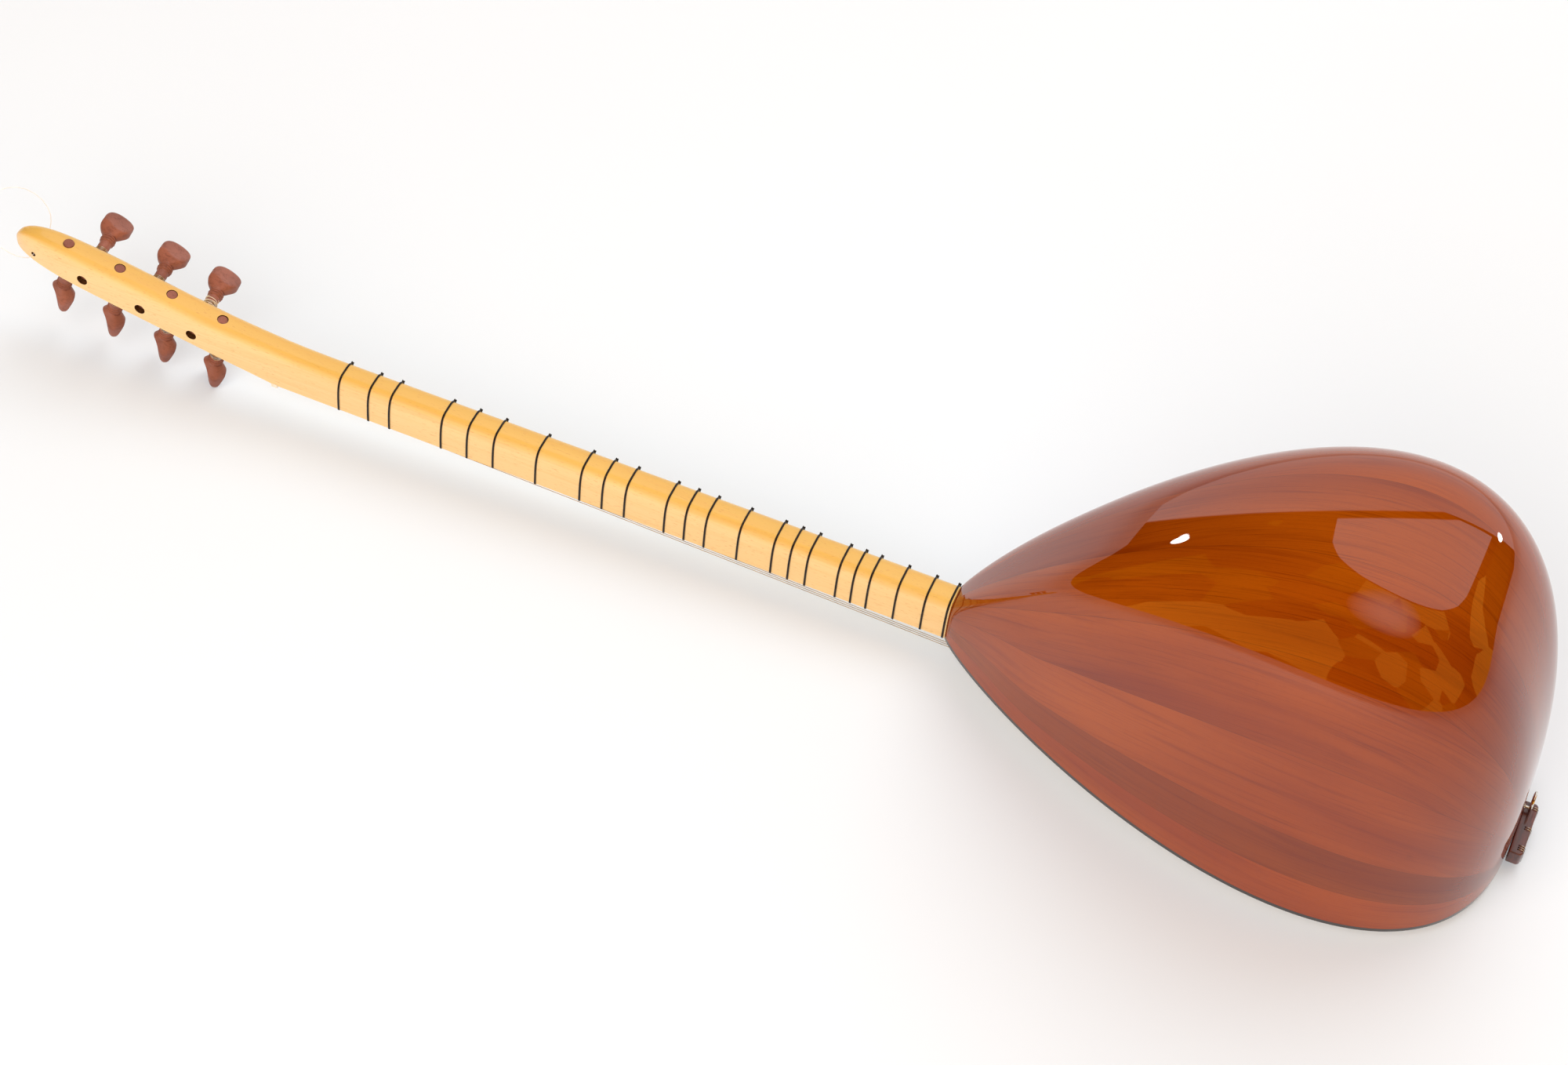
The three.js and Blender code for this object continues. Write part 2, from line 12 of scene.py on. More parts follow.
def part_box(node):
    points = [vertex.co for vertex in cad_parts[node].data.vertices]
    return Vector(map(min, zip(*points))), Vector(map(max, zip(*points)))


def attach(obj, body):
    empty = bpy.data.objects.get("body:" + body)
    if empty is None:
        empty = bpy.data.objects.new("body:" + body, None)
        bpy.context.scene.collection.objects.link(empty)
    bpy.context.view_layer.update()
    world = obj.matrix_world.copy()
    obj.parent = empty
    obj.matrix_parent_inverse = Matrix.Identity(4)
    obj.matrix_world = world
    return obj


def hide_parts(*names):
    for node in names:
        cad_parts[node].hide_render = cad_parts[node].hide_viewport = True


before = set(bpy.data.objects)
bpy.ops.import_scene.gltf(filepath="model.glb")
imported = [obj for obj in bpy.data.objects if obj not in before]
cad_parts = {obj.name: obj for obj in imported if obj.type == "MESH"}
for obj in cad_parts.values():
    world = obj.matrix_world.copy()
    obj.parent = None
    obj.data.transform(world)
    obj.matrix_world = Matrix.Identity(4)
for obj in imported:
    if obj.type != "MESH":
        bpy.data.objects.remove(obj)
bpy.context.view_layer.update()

# ---------------------------------------------------------------- driving dimensions, mm

MM = 0.001
NUT_LOW, NUT_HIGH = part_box("nut")
NUT_X = (NUT_LOW[0] + NUT_HIGH[0]) / 2

GAP = 0.3
SCALE = 880
NECK_LENGTH = 551.8
BOWL_LENGTH = 431.2
TAIL_X = NECK_LENGTH + BOWL_LENGTH
BOWL_HALF_WIDTH = 133
BOWL_DEPTH = 270
SHELL = 3

NECK_WIDTH_NUT = 25
NECK_WIDTH_JOINT = 29
NECK_DEPTH_NUT = 31.5
NECK_DEPTH_JOINT = 35
NECK_SQUARENESS = 0.51
BOWL_SQUARENESS = 0.52
BOWL_RISE = 0.78
HEAD_TILT = radians(10.2)
HEAD_LENGTH = 229
HEAD_WIDTH = 26
HEAD_DEPTH = 29
HEAD_TIP_TAPER = 85
HEAD_BEND = 18

BOARD = 3.2
BINDING_WIDTH = 2
BINDING_HEIGHT = 3.5

FRET_RATIOS = [
    16 / 15, 11 / 10, 9 / 8, 81 / 68, 27 / 22, 81 / 64, 4 / 3, 24 / 17,
    16 / 11, 3 / 2, 27 / 17, 18 / 11, 27 / 16, 16 / 9, 32 / 17, 64 / 33,
    2, 36 / 17, 24 / 11, 9 / 4, 81 / 34, 81 / 32, 8 / 3,
]
FRET_STRAND = 0.4                # radius of one strand of the tied line
KNOT_ANGLE = radians(132)
KNOT_OFF = 1.15                  # middle of the knot above the neck

FRONT_PEGS = [54.8, 98.4, 143.2, 187.3]
SIDE_PEGS = [73.9, 118.2, 168]
SIDE_PEG_HEIGHT = 9.8
SIDE_PEG_LEAN = radians(3.5)
FRONT_PEG_END = 28.2
SIDE_PEG_END = -8.5
PEG_SMALL = 4.1
PEG_LARGE = 4.9
PEG_TAPER = 40
PEG_FIT = 0.14                   # room round a peg in its bore
COLLAR = 6.2
COLLAR_LENGTH = 7
KNOB_WIDTH = 24
KNOB_HEIGHT = 23.5
FRONT_SHANK = FRONT_PEG_END + 17.3
SIDE_SHANK = HEAD_WIDTH / 2 - SIDE_PEG_END + 15
FRONT_KNOB_TURN = 0.75
HANG_HOLE = 2
HANG_HOLE_FROM_TIP = 18
HANG_HOLE_HEIGHT = 7.5

TAILPIECE_LENGTH = 48
TAILPIECE_WIDTH = 10.2
TAILPIECE_LOW = -2
TAILPIECE_HIGH = 11
TAILPIECE_ROUND = 3
STRING_HOLE = 6                  # holes in the tailpiece, from the tail
TAIL_SPREAD = 1.02
STRING_RADIUS = 0.27
BRIDGE_HEIGHT = 10
NUT_HEIGHT = 2

# Place at the nut, place at the bridge, and the peg that holds the string.
STRINGS = [
    (8.4, 19.5, "side", 0),
    (6.9, 17.7, "side", 1),
    (1.8, 0.9, "side", 2),
    (0.3, -0.9, "front", 0),
    (-5.4, -15.9, "front", 1),
    (-6.9, -17.7, "front", 2),
    (-8.4, -19.5, "front", 3),
]
FRONT_WINDING = [14, 12, 10, 8]

# Stave seams as section angles in degrees, from one edge of the bowl to its middle.
SEAMS_HALF = [0, 5, 12.6, 30.2, 55, 84.8]
SEAMS = SEAMS_HALF + [180 - angle for angle in reversed(SEAMS_HALF)]
# How light each stave's wood is, from the -Y edge round to the +Y edge.
STAVE_TONES = [1.16, 0.84, 1.04, 1.0, 0.96, 0.93, 1.0, 0.96, 1.03, 0.88, 1.1]


# ---------------------------------------------------------------- helpers

def at(x, y, z):
    """A point given in nut millimetres, in the frame."""
    return Vector((NUT_X + x * MM, y * MM, z * MM))


def lerp(a, b, share):
    return a + (b - a) * share


def clamp(value, low=0.0, high=1.0):
    return min(max(value, low), high)


def smooth(value, low, high):
    share = clamp((value - low) / (high - low))
    return share * share * (3 - 2 * share)


def span(count):
    """Shares from 0 to 1 in equal steps."""
    return [i / (count - 1) for i in range(count)]


def circle(count):
    """Angles once round in equal steps."""
    return [2 * pi * k / count for k in range(count)]


class Shape:
    """Points in nut millimetres and the faces between them."""

    def __init__(self):
        self.points = []
        self.faces = []

    def loft(self, rings, loop=False):
        """Skins rings of equal length. A loop joins the last ring to the first, or both get a cap."""
        base = len(self.points)
        count = len(rings[0])
        for ring in rings:
            self.points += [tuple(p) for p in ring]
        for r in range(len(rings) if loop else len(rings) - 1):
            a = base + r * count
            b = base + (r + 1) % len(rings) * count
            for i in range(count):
                j = (i + 1) % count
                self.faces.append((a + i, a + j, b + j, b + i))
        if not loop:
            last = base + (len(rings) - 1) * count
            self.faces.append(tuple(base + i for i in range(count)))
            self.faces.append(tuple(last + i for i in range(count)))

    def move(self, matrix):
        self.points = [tuple(matrix @ Vector(p)) for p in self.points]


def new_object(name, data):
    piece = bpy.data.objects.new(name, data)
    bpy.context.scene.collection.objects.link(piece)
    return piece


def new_mesh(name, shape, weld=0.0):
    """Mesh of a shape with its faces turned outwards, after joining points that lie together."""
    mesh = bpy.data.meshes.new(name)
    mesh.from_pydata([at(*p) for p in shape.points], [], shape.faces)
    work = bmesh.new()
    work.from_mesh(mesh)
    if weld:
        bmesh.ops.remove_doubles(work, verts=work.verts, dist=weld)
    bmesh.ops.recalc_face_normals(work, faces=work.faces)
    work.to_mesh(mesh)
    work.free()
    return mesh


def declare(piece, body, node):
    """Hangs a piece on its body and hides the CAD part that it stands for."""
    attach(piece, body)
    if node:
        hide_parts(node)


def build(name, shape, material, body="root", node=None, sharp=35):
    """Makes the mesh of a shape and hangs it on its body."""
    mesh = new_mesh(name, shape, weld=0.002 * MM)
    mesh.materials.append(material)
    piece = new_object(name, mesh)
    shade(mesh, sharp)
    declare(piece, body, node)
    return piece


def shade(mesh, sharp=35):
    for face in mesh.polygons:
        face.use_smooth = True
    mesh.set_sharp_from_angle(angle=radians(sharp))


def apply_modifiers(piece):
    bpy.context.view_layer.update()
    graph = bpy.context.evaluated_depsgraph_get()
    mesh = bpy.data.meshes.new_from_object(piece.evaluated_get(graph))
    piece.modifiers.clear()
    old = piece.data
    piece.data = mesh
    bpy.data.meshes.remove(old)


def bevel(piece, width, segments=3, angle=40):
    tool = piece.modifiers.new("bevel", "BEVEL")
    tool.width = width * MM
    tool.segments = segments
    tool.limit_method = "ANGLE"
    tool.angle_limit = radians(angle)
    tool.harden_normals = False
    apply_modifiers(piece)
    shade(piece.data)


def cut(piece, shapes, sharp=35):
    """Cuts closed shapes out of a piece."""
    for shape in shapes:
        mesh = new_mesh("cutter", shape)
        cutter = new_object("cutter", mesh)
        tool = piece.modifiers.new("cut", "BOOLEAN")
        tool.object = cutter
        tool.operation = "DIFFERENCE"
        tool.solver = "EXACT"
        apply_modifiers(piece)
        bpy.data.objects.remove(cutter)
        bpy.data.meshes.remove(mesh)
    shade(piece.data, sharp)


def tube(path, radius, sides=8, loop=False):
    """Round tube along points, with a frame that is carried along so that it never twists."""
    path = [Vector(p) for p in path]
    count = len(path)
    rings = []
    side = None
    for i, point in enumerate(path):
        before = path[i - 1] if i or loop else path[0]
        after = path[(i + 1) % count] if i + 1 < count or loop else path[i]
        along = (after - before).normalized()
        if side is None:
            side = along.cross(Vector((0.3, 0.2, 1)))
            if side.length < 0.1:
                side = along.cross(Vector((1, 0, 0)))
        side = (side - along * side.dot(along)).normalized()
        over = along.cross(side)
        rings.append([point + (side * cos(a) + over * sin(a)) * radius for a in circle(sides)])
    if loop:
        # The carried frame comes back turned, so the last ring is matched to the first.
        start = rings[0][0]
        shift = min(range(sides), key=lambda k: (rings[-1][k] - start).length)
        rings[-1] = rings[-1][shift:] + rings[-1][:shift]
    shape = Shape()
    shape.loft(rings, loop)
    return shape


def fillet(corners, radius, steps=6):
    """Path through corner points, each corner rounded off by an arc-like curve."""
    corners = [Vector(c) for c in corners]
    path = [corners[0]]
    for before, corner, after in zip(corners, corners[1:], corners[2:]):
        reach = min(radius, (corner - before).length / 2.05, (after - corner).length / 2.05)
        start = corner + (before - corner).normalized() * reach
        end = corner + (after - corner).normalized() * reach
        pull_start = start.lerp(corner, 0.55)
        pull_end = end.lerp(corner, 0.55)
        path += interpolate_bezier(start, pull_start, pull_end, end, steps)
    path.append(corners[-1])
    return path


def merge(*shapes):
    whole = Shape()
    for shape in shapes:
        base = len(whole.points)
        whole.points += shape.points
        whole.faces += [tuple(base + i for i in face) for face in shape.faces]
    return whole


def lathe(profile, sides=48):
    """Turned body along its own +Y from (radius, height) pairs that start and end on the axis."""
    rings = []
    for radius, height in profile:
        reach = max(radius, 0.001)
        rings.append([(reach * cos(a), height, reach * sin(a)) for a in circle(sides)])
    shape = Shape()
    shape.loft(rings)
    return shape


# ---------------------------------------------------------------- materials

BUMP_DISTANCE = 0.0001
# Strength of the floor's painted glow; the floor is no lamp.
FLOOR_PAINTED_GLOW = 0.245


class Nodes:
    """A node tree, with the helpers that fill it."""

    def __init__(self, tree):
        self.tree = tree

    def feed(self, socket, value):
        """Links an output to a socket, or sets the socket to a value."""
        if isinstance(value, bpy.types.NodeSocket):
            self.tree.links.new(value, socket)
        else:
            socket.default_value = value

    def node(self, kind, inputs=(), **properties):
        node = self.tree.nodes.new(kind)
        for key, value in properties.items():
            setattr(node, key, value)
        for key, value in dict(inputs).items():
            self.feed(node.inputs[key], value)
        return node

    def ramp(self, source, low, high, out_low=0.0, out_high=1.0):
        values = {
            "Value": source, "From Min": low, "From Max": high,
            "To Min": out_low, "To Max": out_high,
        }
        return self.node("ShaderNodeMapRange", values, clamp=True).outputs[0]

    def join(self, operation, a, b):
        return self.node("ShaderNodeMath", {0: a, 1: b}, operation=operation).outputs[0]

    def mix(self, share, a, b):
        return self.node("ShaderNodeMix", {0: share, 6: a, 7: b}, data_type="RGBA").outputs[2]


class Look(Nodes):
    """A Principled material with the helpers that its pattern is built with."""

    def __init__(self, name, **values):
        self.material = bpy.data.materials.new(name)
        self.material.use_nodes = True
        super().__init__(self.material.node_tree)
        self.shader = self.tree.nodes["Principled BSDF"]
        for key, value in values.items():
            self.shader.inputs[key.replace("_", " ")].default_value = value
        self.where = self.node("ShaderNodeTexCoord").outputs["Object"]

    def noise(self, scale, offset=(0, 0, 0), source=None, detail=3.0, roughness=0.5, distortion=0.0):
        """Noise stretched by a scale for each axis, on the object's own space or another one."""
        place = {"Vector": source or self.where, "Scale": scale, "Location": offset}
        values = {
            "Vector": self.node("ShaderNodeMapping", place).outputs[0], "Scale": 1.0,
            "Detail": detail, "Roughness": roughness, "Distortion": distortion,
        }
        return self.node("ShaderNodeTexNoise", values).outputs["Fac"]

    def tones(self, source, low, high, dark, light):
        """Two colours blended where a pattern rises between two levels."""
        return self.mix(self.ramp(source, low, high), dark, light)

    def mark(self, base, source, low, high, amount, colour):
        """Lays a colour over the base, up to an amount, where a pattern rises."""
        return self.mix(self.ramp(source, low, high, 0, amount), base, colour)

    def finish(self, colour, roughness=None, bump=None, strength=0.1):
        self.feed(self.shader.inputs["Base Color"], colour)
        if roughness is not None:
            self.feed(self.shader.inputs["Roughness"], roughness)
        if bump is not None:
            values = {"Height": bump, "Strength": strength, "Distance": BUMP_DISTANCE}
            self.feed(self.shader.inputs["Normal"], self.node("ShaderNodeBump", values).outputs[0])
        return self.material


def rgb(red, green, blue):
    return (red, green, blue, 1.0)


def bowl_wood(index, tone):
    """Stained wood of one stave under thick polished lacquer, with a thin dark glue line."""
    look = Look(f"bowl_wood_{index:02d}", Coat_Weight=1.0, Coat_Roughness=0.005, Coat_IOR=1.58,
                Specular_IOR_Level=0.0)
    grain = look.node("ShaderNodeAttribute", attribute_name="grain").outputs["Vector"]
    edge = look.node("ShaderNodeAttribute", attribute_name="edge").outputs["Fac"]
    place = (index * 1.7, index * 2.3, 0)
    broad = look.noise((3.2, 16, 1), place, grain, detail=2, roughness=0.5)
    figure = look.noise((7, 150, 1), place, grain, detail=4, roughness=0.6, distortion=0.6)
    lines = look.noise((12, 1300, 1), place, grain, detail=3, roughness=0.6, distortion=0.4)
    pores = look.noise((160, 2600, 1), place, grain, detail=2)
    knots = look.noise((16, 26, 1), place, grain, detail=1)

    def tinted(red, green, blue):
        return rgb(*[clamp(part * tone) for part in (red, green, blue)])

    base = look.tones(broad, 0.32, 0.7, tinted(0.198, 0.026, 0.0004), tinted(0.315, 0.060, 0.0012))
    base = look.mark(base, figure, 0.52, 0.78, 0.5, tinted(0.12, 0.009, 0.0004))
    base = look.mark(base, lines, 0.55, 0.70, 0.45, tinted(0.09, 0.007, 0.0004))
    base = look.mark(base, pores, 0.62, 0.72, 0.25, tinted(0.07, 0.006, 0.0004))
    base = look.mark(base, knots, 0.80, 0.86, 0.6, tinted(0.06, 0.010, 0.002))
    base = look.mix(look.ramp(edge, 0.0, 0.35, 0.55, 0), base, rgb(0.05, 0.010, 0.002))
    rough = look.ramp(figure, 0.3, 0.7, 0.30, 0.42)
    return look.finish(base, rough, look.ramp(lines, 0.4, 0.7), 0.05)


def beech():
    """Lacquered beech with its short flecks along the neck, golden on the back, with the sides painted
    paler as a painted reflection that follows which way the surface faces.
    """
    look = Look("beech", Coat_Weight=0.6, Coat_Roughness=0.08, Coat_IOR=1.5, Specular_IOR_Level=0.3)
    broad = look.noise((2.2, 26, 26), detail=3, distortion=0.3)
    bands = look.noise((5, 110, 110), (3, 1, 0), detail=4, roughness=0.55, distortion=0.8)
    fleck = look.noise((210, 1500, 1500), detail=1, roughness=0.4)
    lines = look.noise((16, 900, 900), (1, 5, 2), detail=3, roughness=0.6)
    # Painted reflection: the colour turns from gold on the top to paler at the sides, by the way each
    # face is turned.
    painted_sheen_facing = look.node("ShaderNodeTexCoord").outputs["Normal"]
    back = look.ramp(look.node("ShaderNodeSeparateXYZ", {0: painted_sheen_facing}).outputs["Z"], 0.45, 0.9)
    pale = look.tones(broad, 0.3, 0.72, rgb(0.79, 0.55, 0.235), rgb(0.86, 0.635, 0.31))
    gold = look.tones(broad, 0.3, 0.72, rgb(0.62, 0.375, 0.075), rgb(0.73, 0.47, 0.12))
    base = look.mix(back, pale, gold)
    base = look.mark(base, bands, 0.5, 0.8, 0.4, rgb(0.66, 0.34, 0.07))
    base = look.mark(base, lines, 0.54, 0.75, 0.25, rgb(0.66, 0.32, 0.08))
    base = look.mark(base, fleck, 0.66, 0.73, 0.5, rgb(0.52, 0.25, 0.07))
    rough = look.ramp(broad, 0.3, 0.7, 0.32, 0.42)
    return look.finish(base, rough, look.ramp(lines, 0.4, 0.7), 0.08)


def spruce():
    """Soundboard with fine straight year rings along its length."""
    look = Look("spruce", Coat_Weight=0.7, Coat_Roughness=0.12)
    sway = look.noise((1.5, 5, 5), detail=2)
    rings = look.noise((2.5, 620, 40), detail=2, roughness=0.5, distortion=0.1)
    broad = look.noise((2, 24, 4), (4, 2, 0), detail=3)
    silk = look.noise((60, 220, 60), (2, 0, 0), detail=2)
    base = look.tones(broad, 0.3, 0.7, rgb(0.74, 0.50, 0.24), rgb(0.84, 0.62, 0.34))
    base = look.mark(base, rings, 0.48, 0.66, 0.65, rgb(0.52, 0.28, 0.11))
    base = look.mark(base, silk, 0.6, 0.8, 0.25, rgb(0.92, 0.74, 0.46))
    base = look.mark(base, sway, 0.3, 0.7, 0.2, rgb(0.66, 0.40, 0.18))
    return look.finish(base, look.ramp(rings, 0.3, 0.7, 0.4, 0.5), rings, 0.1)


def rosewood():
    """Oiled pinkish brown peg wood, its dryness varying along its figure."""
    look = Look("rosewood", Coat_Weight=0.12, Coat_Roughness=0.35)
    figure = look.noise((150, 260, 420), detail=4, roughness=0.6, distortion=1.2)
    pores = look.noise((500, 500, 3200), (2, 1, 0), detail=2)
    broad = look.noise((40, 40, 40), detail=2)
    base = look.tones(broad, 0.35, 0.65, rgb(0.215, 0.070, 0.045), rgb(0.30, 0.105, 0.068))
    base = look.mark(base, figure, 0.5, 0.72, 0.6, rgb(0.125, 0.036, 0.026))
    base = look.mark(base, pores, 0.62, 0.72, 0.5, rgb(0.07, 0.02, 0.015))
    rough = look.ramp(figure, 0.3, 0.7, 0.48, 0.62)
    return look.finish(base, rough, look.ramp(pores, 0.4, 0.75, 1, 0), 0.3)


def bore_painted_shade():
    """Raw wood inside the bores, painted far darker as the shade that fills them."""
    look = Look("bore_painted_shade", Roughness=0.8, Specular_IOR_Level=0.1)
    figure = look.noise((400, 900, 900), detail=3)
    base = look.tones(figure, 0.35, 0.65, rgb(0.050, 0.018, 0.006), rgb(0.12, 0.048, 0.016))
    return look.finish(base, look.ramp(figure, 0.3, 0.7, 0.7, 0.9), figure, 0.2)


def dark_rosewood():
    """Tailpiece wood, very dark red brown under polish."""
    look = Look("dark_rosewood", Coat_Weight=0.9, Coat_Roughness=0.06)
    figure = look.noise((300, 40, 300), detail=4, roughness=0.6, distortion=0.8)
    pores = look.noise((2200, 260, 2200), detail=2)
    base = look.tones(figure, 0.35, 0.65, rgb(0.048, 0.009, 0.007), rgb(0.125, 0.022, 0.012))
    base = look.mark(base, pores, 0.6, 0.72, 0.6, rgb(0.02, 0.006, 0.005))
    return look.finish(base, look.ramp(figure, 0.3, 0.7, 0.28, 0.4), pores, 0.12)


def bridge_wood():
    """Hard pale wood with a dry finish."""
    look = Look("bridge_wood", Coat_Weight=0.15, Coat_Roughness=0.3)
    figure = look.noise((260, 60, 420), detail=4, distortion=0.5)
    fleck = look.noise((1500, 260, 1500), detail=1)
    base = look.tones(figure, 0.35, 0.65, rgb(0.52, 0.30, 0.13), rgb(0.64, 0.41, 0.20))
    base = look.mark(base, fleck, 0.64, 0.72, 0.5, rgb(0.34, 0.17, 0.07))
    return look.finish(base, look.ramp(figure, 0.3, 0.7, 0.45, 0.6), fleck, 0.15)


def bone():
    """Polished bone with faint darker channels."""
    look = Look("bone", Coat_Weight=0.3, Coat_Roughness=0.15)
    cloud = look.noise((160, 220, 160), detail=3)
    specks = look.noise((2400, 700, 2400), detail=1)
    base = look.tones(cloud, 0.3, 0.7, rgb(0.76, 0.70, 0.54), rgb(0.86, 0.82, 0.70))
    base = look.mark(base, specks, 0.68, 0.76, 0.5, rgb(0.48, 0.38, 0.24))
    return look.finish(base, look.ramp(cloud, 0.3, 0.7, 0.28, 0.4), specks, 0.05)


def black_binding():
    """Black edge strip under the same lacquer as the bowl."""
    look = Look("black_binding", Coat_Weight=0.8, Coat_Roughness=0.05)
    cloud = look.noise((30, 30, 30), detail=3)
    dust = look.noise((900, 900, 900), (1, 0, 0), detail=2)
    base = look.tones(cloud, 0.3, 0.7, rgb(0.010, 0.009, 0.009), rgb(0.020, 0.017, 0.016))
    base = look.mark(base, dust, 0.66, 0.78, 0.3, rgb(0.06, 0.05, 0.045))
    return look.finish(base, look.ramp(cloud, 0.3, 0.7, 0.3, 0.42), dust, 0.04)


def black_nylon():
    """Dull black fret line, rubbed a little paler in places."""
    look = Look("black_nylon", Specular_IOR_Level=0.35)
    rub = look.noise((500, 500, 500), detail=3)
    base = look.tones(rub, 0.5, 0.75, rgb(0.012, 0.010, 0.010), rgb(0.045, 0.038, 0.034))
    return look.finish(base, look.ramp(rub, 0.3, 0.7, 0.4, 0.6), rub, 0.1)


def clear_nylon():
    """Thin translucent thread with a milky core."""
    look = Look("clear_nylon", Transmission_Weight=0.25, IOR=1.2)
    cloud = look.noise((300, 300, 300), detail=2)
    base = look.tones(cloud, 0.3, 0.7, rgb(0.88, 0.88, 0.87), rgb(0.98, 0.98, 0.97))
    return look.finish(base, look.ramp(cloud, 0.3, 0.7, 0.3, 0.45))


def cream_thread():
    """Twisted cream thread."""
    look = Look("cream_thread", Sheen_Weight=0.3, Sheen_Roughness=0.5)
    twist = look.noise((2600, 2600, 2600), detail=1)
    base = look.tones(twist, 0.35, 0.65, rgb(0.70, 0.58, 0.42), rgb(0.88, 0.80, 0.66))
    return look.finish(base, look.ramp(twist, 0.3, 0.7, 0.6, 0.8), twist, 0.4)


def metal(name, dark, light, low, high, scratch):
    """Metal whose polish varies along fine scratches."""
    look = Look(name, Metallic=1.0)
    cloud = look.noise((120, 120, 120), detail=3)
    lines = look.noise(scratch, detail=2)
    base = look.tones(cloud, 0.3, 0.7, dark, light)
    return look.finish(base, look.ramp(lines, 0.3, 0.7, low, high), lines, 0.04)


def floor_look():
    """Matt pale sheet with a painted glow of its own, which lifts the shadows on it and lights the saz a
    little from below.
    """
    look = Look("studio_floor", Roughness=0.85, Specular_IOR_Level=0.1,
                Emission_Color=rgb(0.86, 0.98, 1.14), Emission_Strength=FLOOR_PAINTED_GLOW)
    cloud = look.noise((1.5, 1.5, 1.5), detail=2)
    return look.finish(look.tones(cloud, 0.3, 0.7, rgb(0.56, 0.61, 0.64), rgb(0.58, 0.63, 0.66)))


BEECH = beech()
SPRUCE = spruce()
ROSEWOOD = rosewood()
DARK_ROSEWOOD = dark_rosewood()
BRIDGE_WOOD = bridge_wood()
BONE = bone()
BORE_PAINTED_SHADE = bore_painted_shade()
BLACK_BINDING = black_binding()
BLACK_NYLON = black_nylon()
CLEAR_NYLON = clear_nylon()
CREAM_THREAD = cream_thread()
NICKEL = metal("nickel", rgb(0.62, 0.59, 0.52), rgb(0.80, 0.77, 0.70), 0.10, 0.22, (900, 200, 900))
STEEL = metal("string_steel", rgb(0.55, 0.54, 0.52), rgb(0.74, 0.73, 0.71), 0.18, 0.34, (40, 4000, 4000))


# ---------------------------------------------------------------- camera

CAMERA_AZIMUTH = radians(17.413)
CAMERA_ELEVATION = radians(51.112)
CAMERA_ROLL = radians(6.667)
CAMERA_TARGET = (407.37, 25.41, 0)
CAMERA_DISTANCE = 2584.7
CAMERA_LENS = 79.22              # on a sensor 36 mm wide


def make_camera():
    data = bpy.data.cameras.new("camera")
    data.sensor_width = 36
    data.lens = CAMERA_LENS
    data.clip_end = 50
    camera = new_object("camera", data)
    flat = cos(CAMERA_ELEVATION)
    back = Vector((sin(CAMERA_AZIMUTH) * flat, -cos(CAMERA_AZIMUTH) * flat,
                   sin(CAMERA_ELEVATION)))
    level = Vector((cos(CAMERA_AZIMUTH), sin(CAMERA_AZIMUTH), 0))
    upright = back.cross(level)
    right = level * cos(CAMERA_ROLL) + upright * sin(CAMERA_ROLL)
    up = upright * cos(CAMERA_ROLL) - level * sin(CAMERA_ROLL)
    turn = Matrix((right, up, back)).transposed().to_4x4()
    place = at(*CAMERA_TARGET) + back * CAMERA_DISTANCE * MM
    camera.matrix_world = Matrix.Translation(place) @ turn
    bpy.context.scene.camera = camera


make_camera()


# ---------------------------------------------------------------- hanging loop

def on_head(s, height, y):
    """Point along the head from the nut, above its front face, and across."""
    cosine, sine = cos(HEAD_TILT), sin(HEAD_TILT)
    return Vector((-s * cosine + height * sine, y, s * sine + height * cosine))


def centripetal(points, steps):
    """Centripetal Catmull-Rom curve through the points, in steps equal in parameter."""
    points = [Vector(p) for p in points]
    ends = [points[0] * 2 - points[1]] + points + [points[-1] * 2 - points[-2]]
    curve = []
    for k in range(steps + 1):
        where = (len(points) - 1) * k / steps
        i = min(int(where), len(points) - 2)
        weight = where - i
        p0, p1, p2, p3 = ends[i:i + 4]
        pairs = ((p0, p1), (p1, p2), (p2, p3))
        d0, d1, d2 = [max((b - a).length_squared ** 0.25, 1e-4) for a, b in pairs]
        m1 = ((p1 - p0) / d0 - (p2 - p0) / (d0 + d1) + (p2 - p1) / d1) * d1
        m2 = ((p2 - p1) / d1 - (p3 - p1) / (d1 + d2) + (p3 - p2) / d2) * d1
        square, cube = weight ** 2, weight ** 3
        curve.append(p1 * (2 * cube - 3 * square + 1) + m1 * (cube - 2 * square + weight)
                     + p2 * (3 * square - 2 * cube) + m2 * (cube - square))
    return curve


def hang_loop():
    """Thin nylon loop through the hang hole, its two ends meeting inside the hole."""
    route = [
        (0, 0, -0.6), (0, 0, -8), (1, 0, -14), (9, 0, -18), (24, 1, -18),
        (42, 5, -11), (50, 12, 2), (46, 20, 15), (32, 24, 24), (16, 19, 27),
        (5, 9, 24), (1, 2, 16), (0, 0, 8), (0, 0, 0.6),
    ]
    hole = HEAD_LENGTH - HANG_HOLE_FROM_TIP
    guide = [on_head(hole + ahead, HANG_HOLE_HEIGHT + up, y) for ahead, up, y in route]
    path = centripetal(guide, 30)
    data = bpy.data.curves.new("hanging_thread", "CURVE")
    data.dimensions = "3D"
    data.bevel_depth = 0.35 * MM
    data.bevel_resolution = 3
    data.use_fill_caps = True
    spline = data.splines.new("POLY")
    spline.points.add(len(path) - 1)
    places = [at(*p) for p in path]
    for point, place in zip(spline.points, places):
        point.co = (*place, 1)
    data.materials.append(CLEAR_NYLON)
    piece = new_object("hanging_thread", data)
    declare(piece, "root", "hang_loop")


hang_loop()


# ---------------------------------------------------------------- bowl

def wave(t, power, tail):
    return sin(t) ** power * sin(t / 2) ** tail


class Outline:
    """How the bowl's width or depth swells from the neck joint to the tail."""

    def __init__(self, power, tail):
        self.power = power
        self.tail = tail
        self.peak = max(wave(pi * v, power, tail) for v in span(400))

    def swell(self, t):
        return wave(t, self.power, self.tail) / self.peak


PLAN = Outline(0.7575, 0.972)
SIDE = Outline(0.836, 0.983)


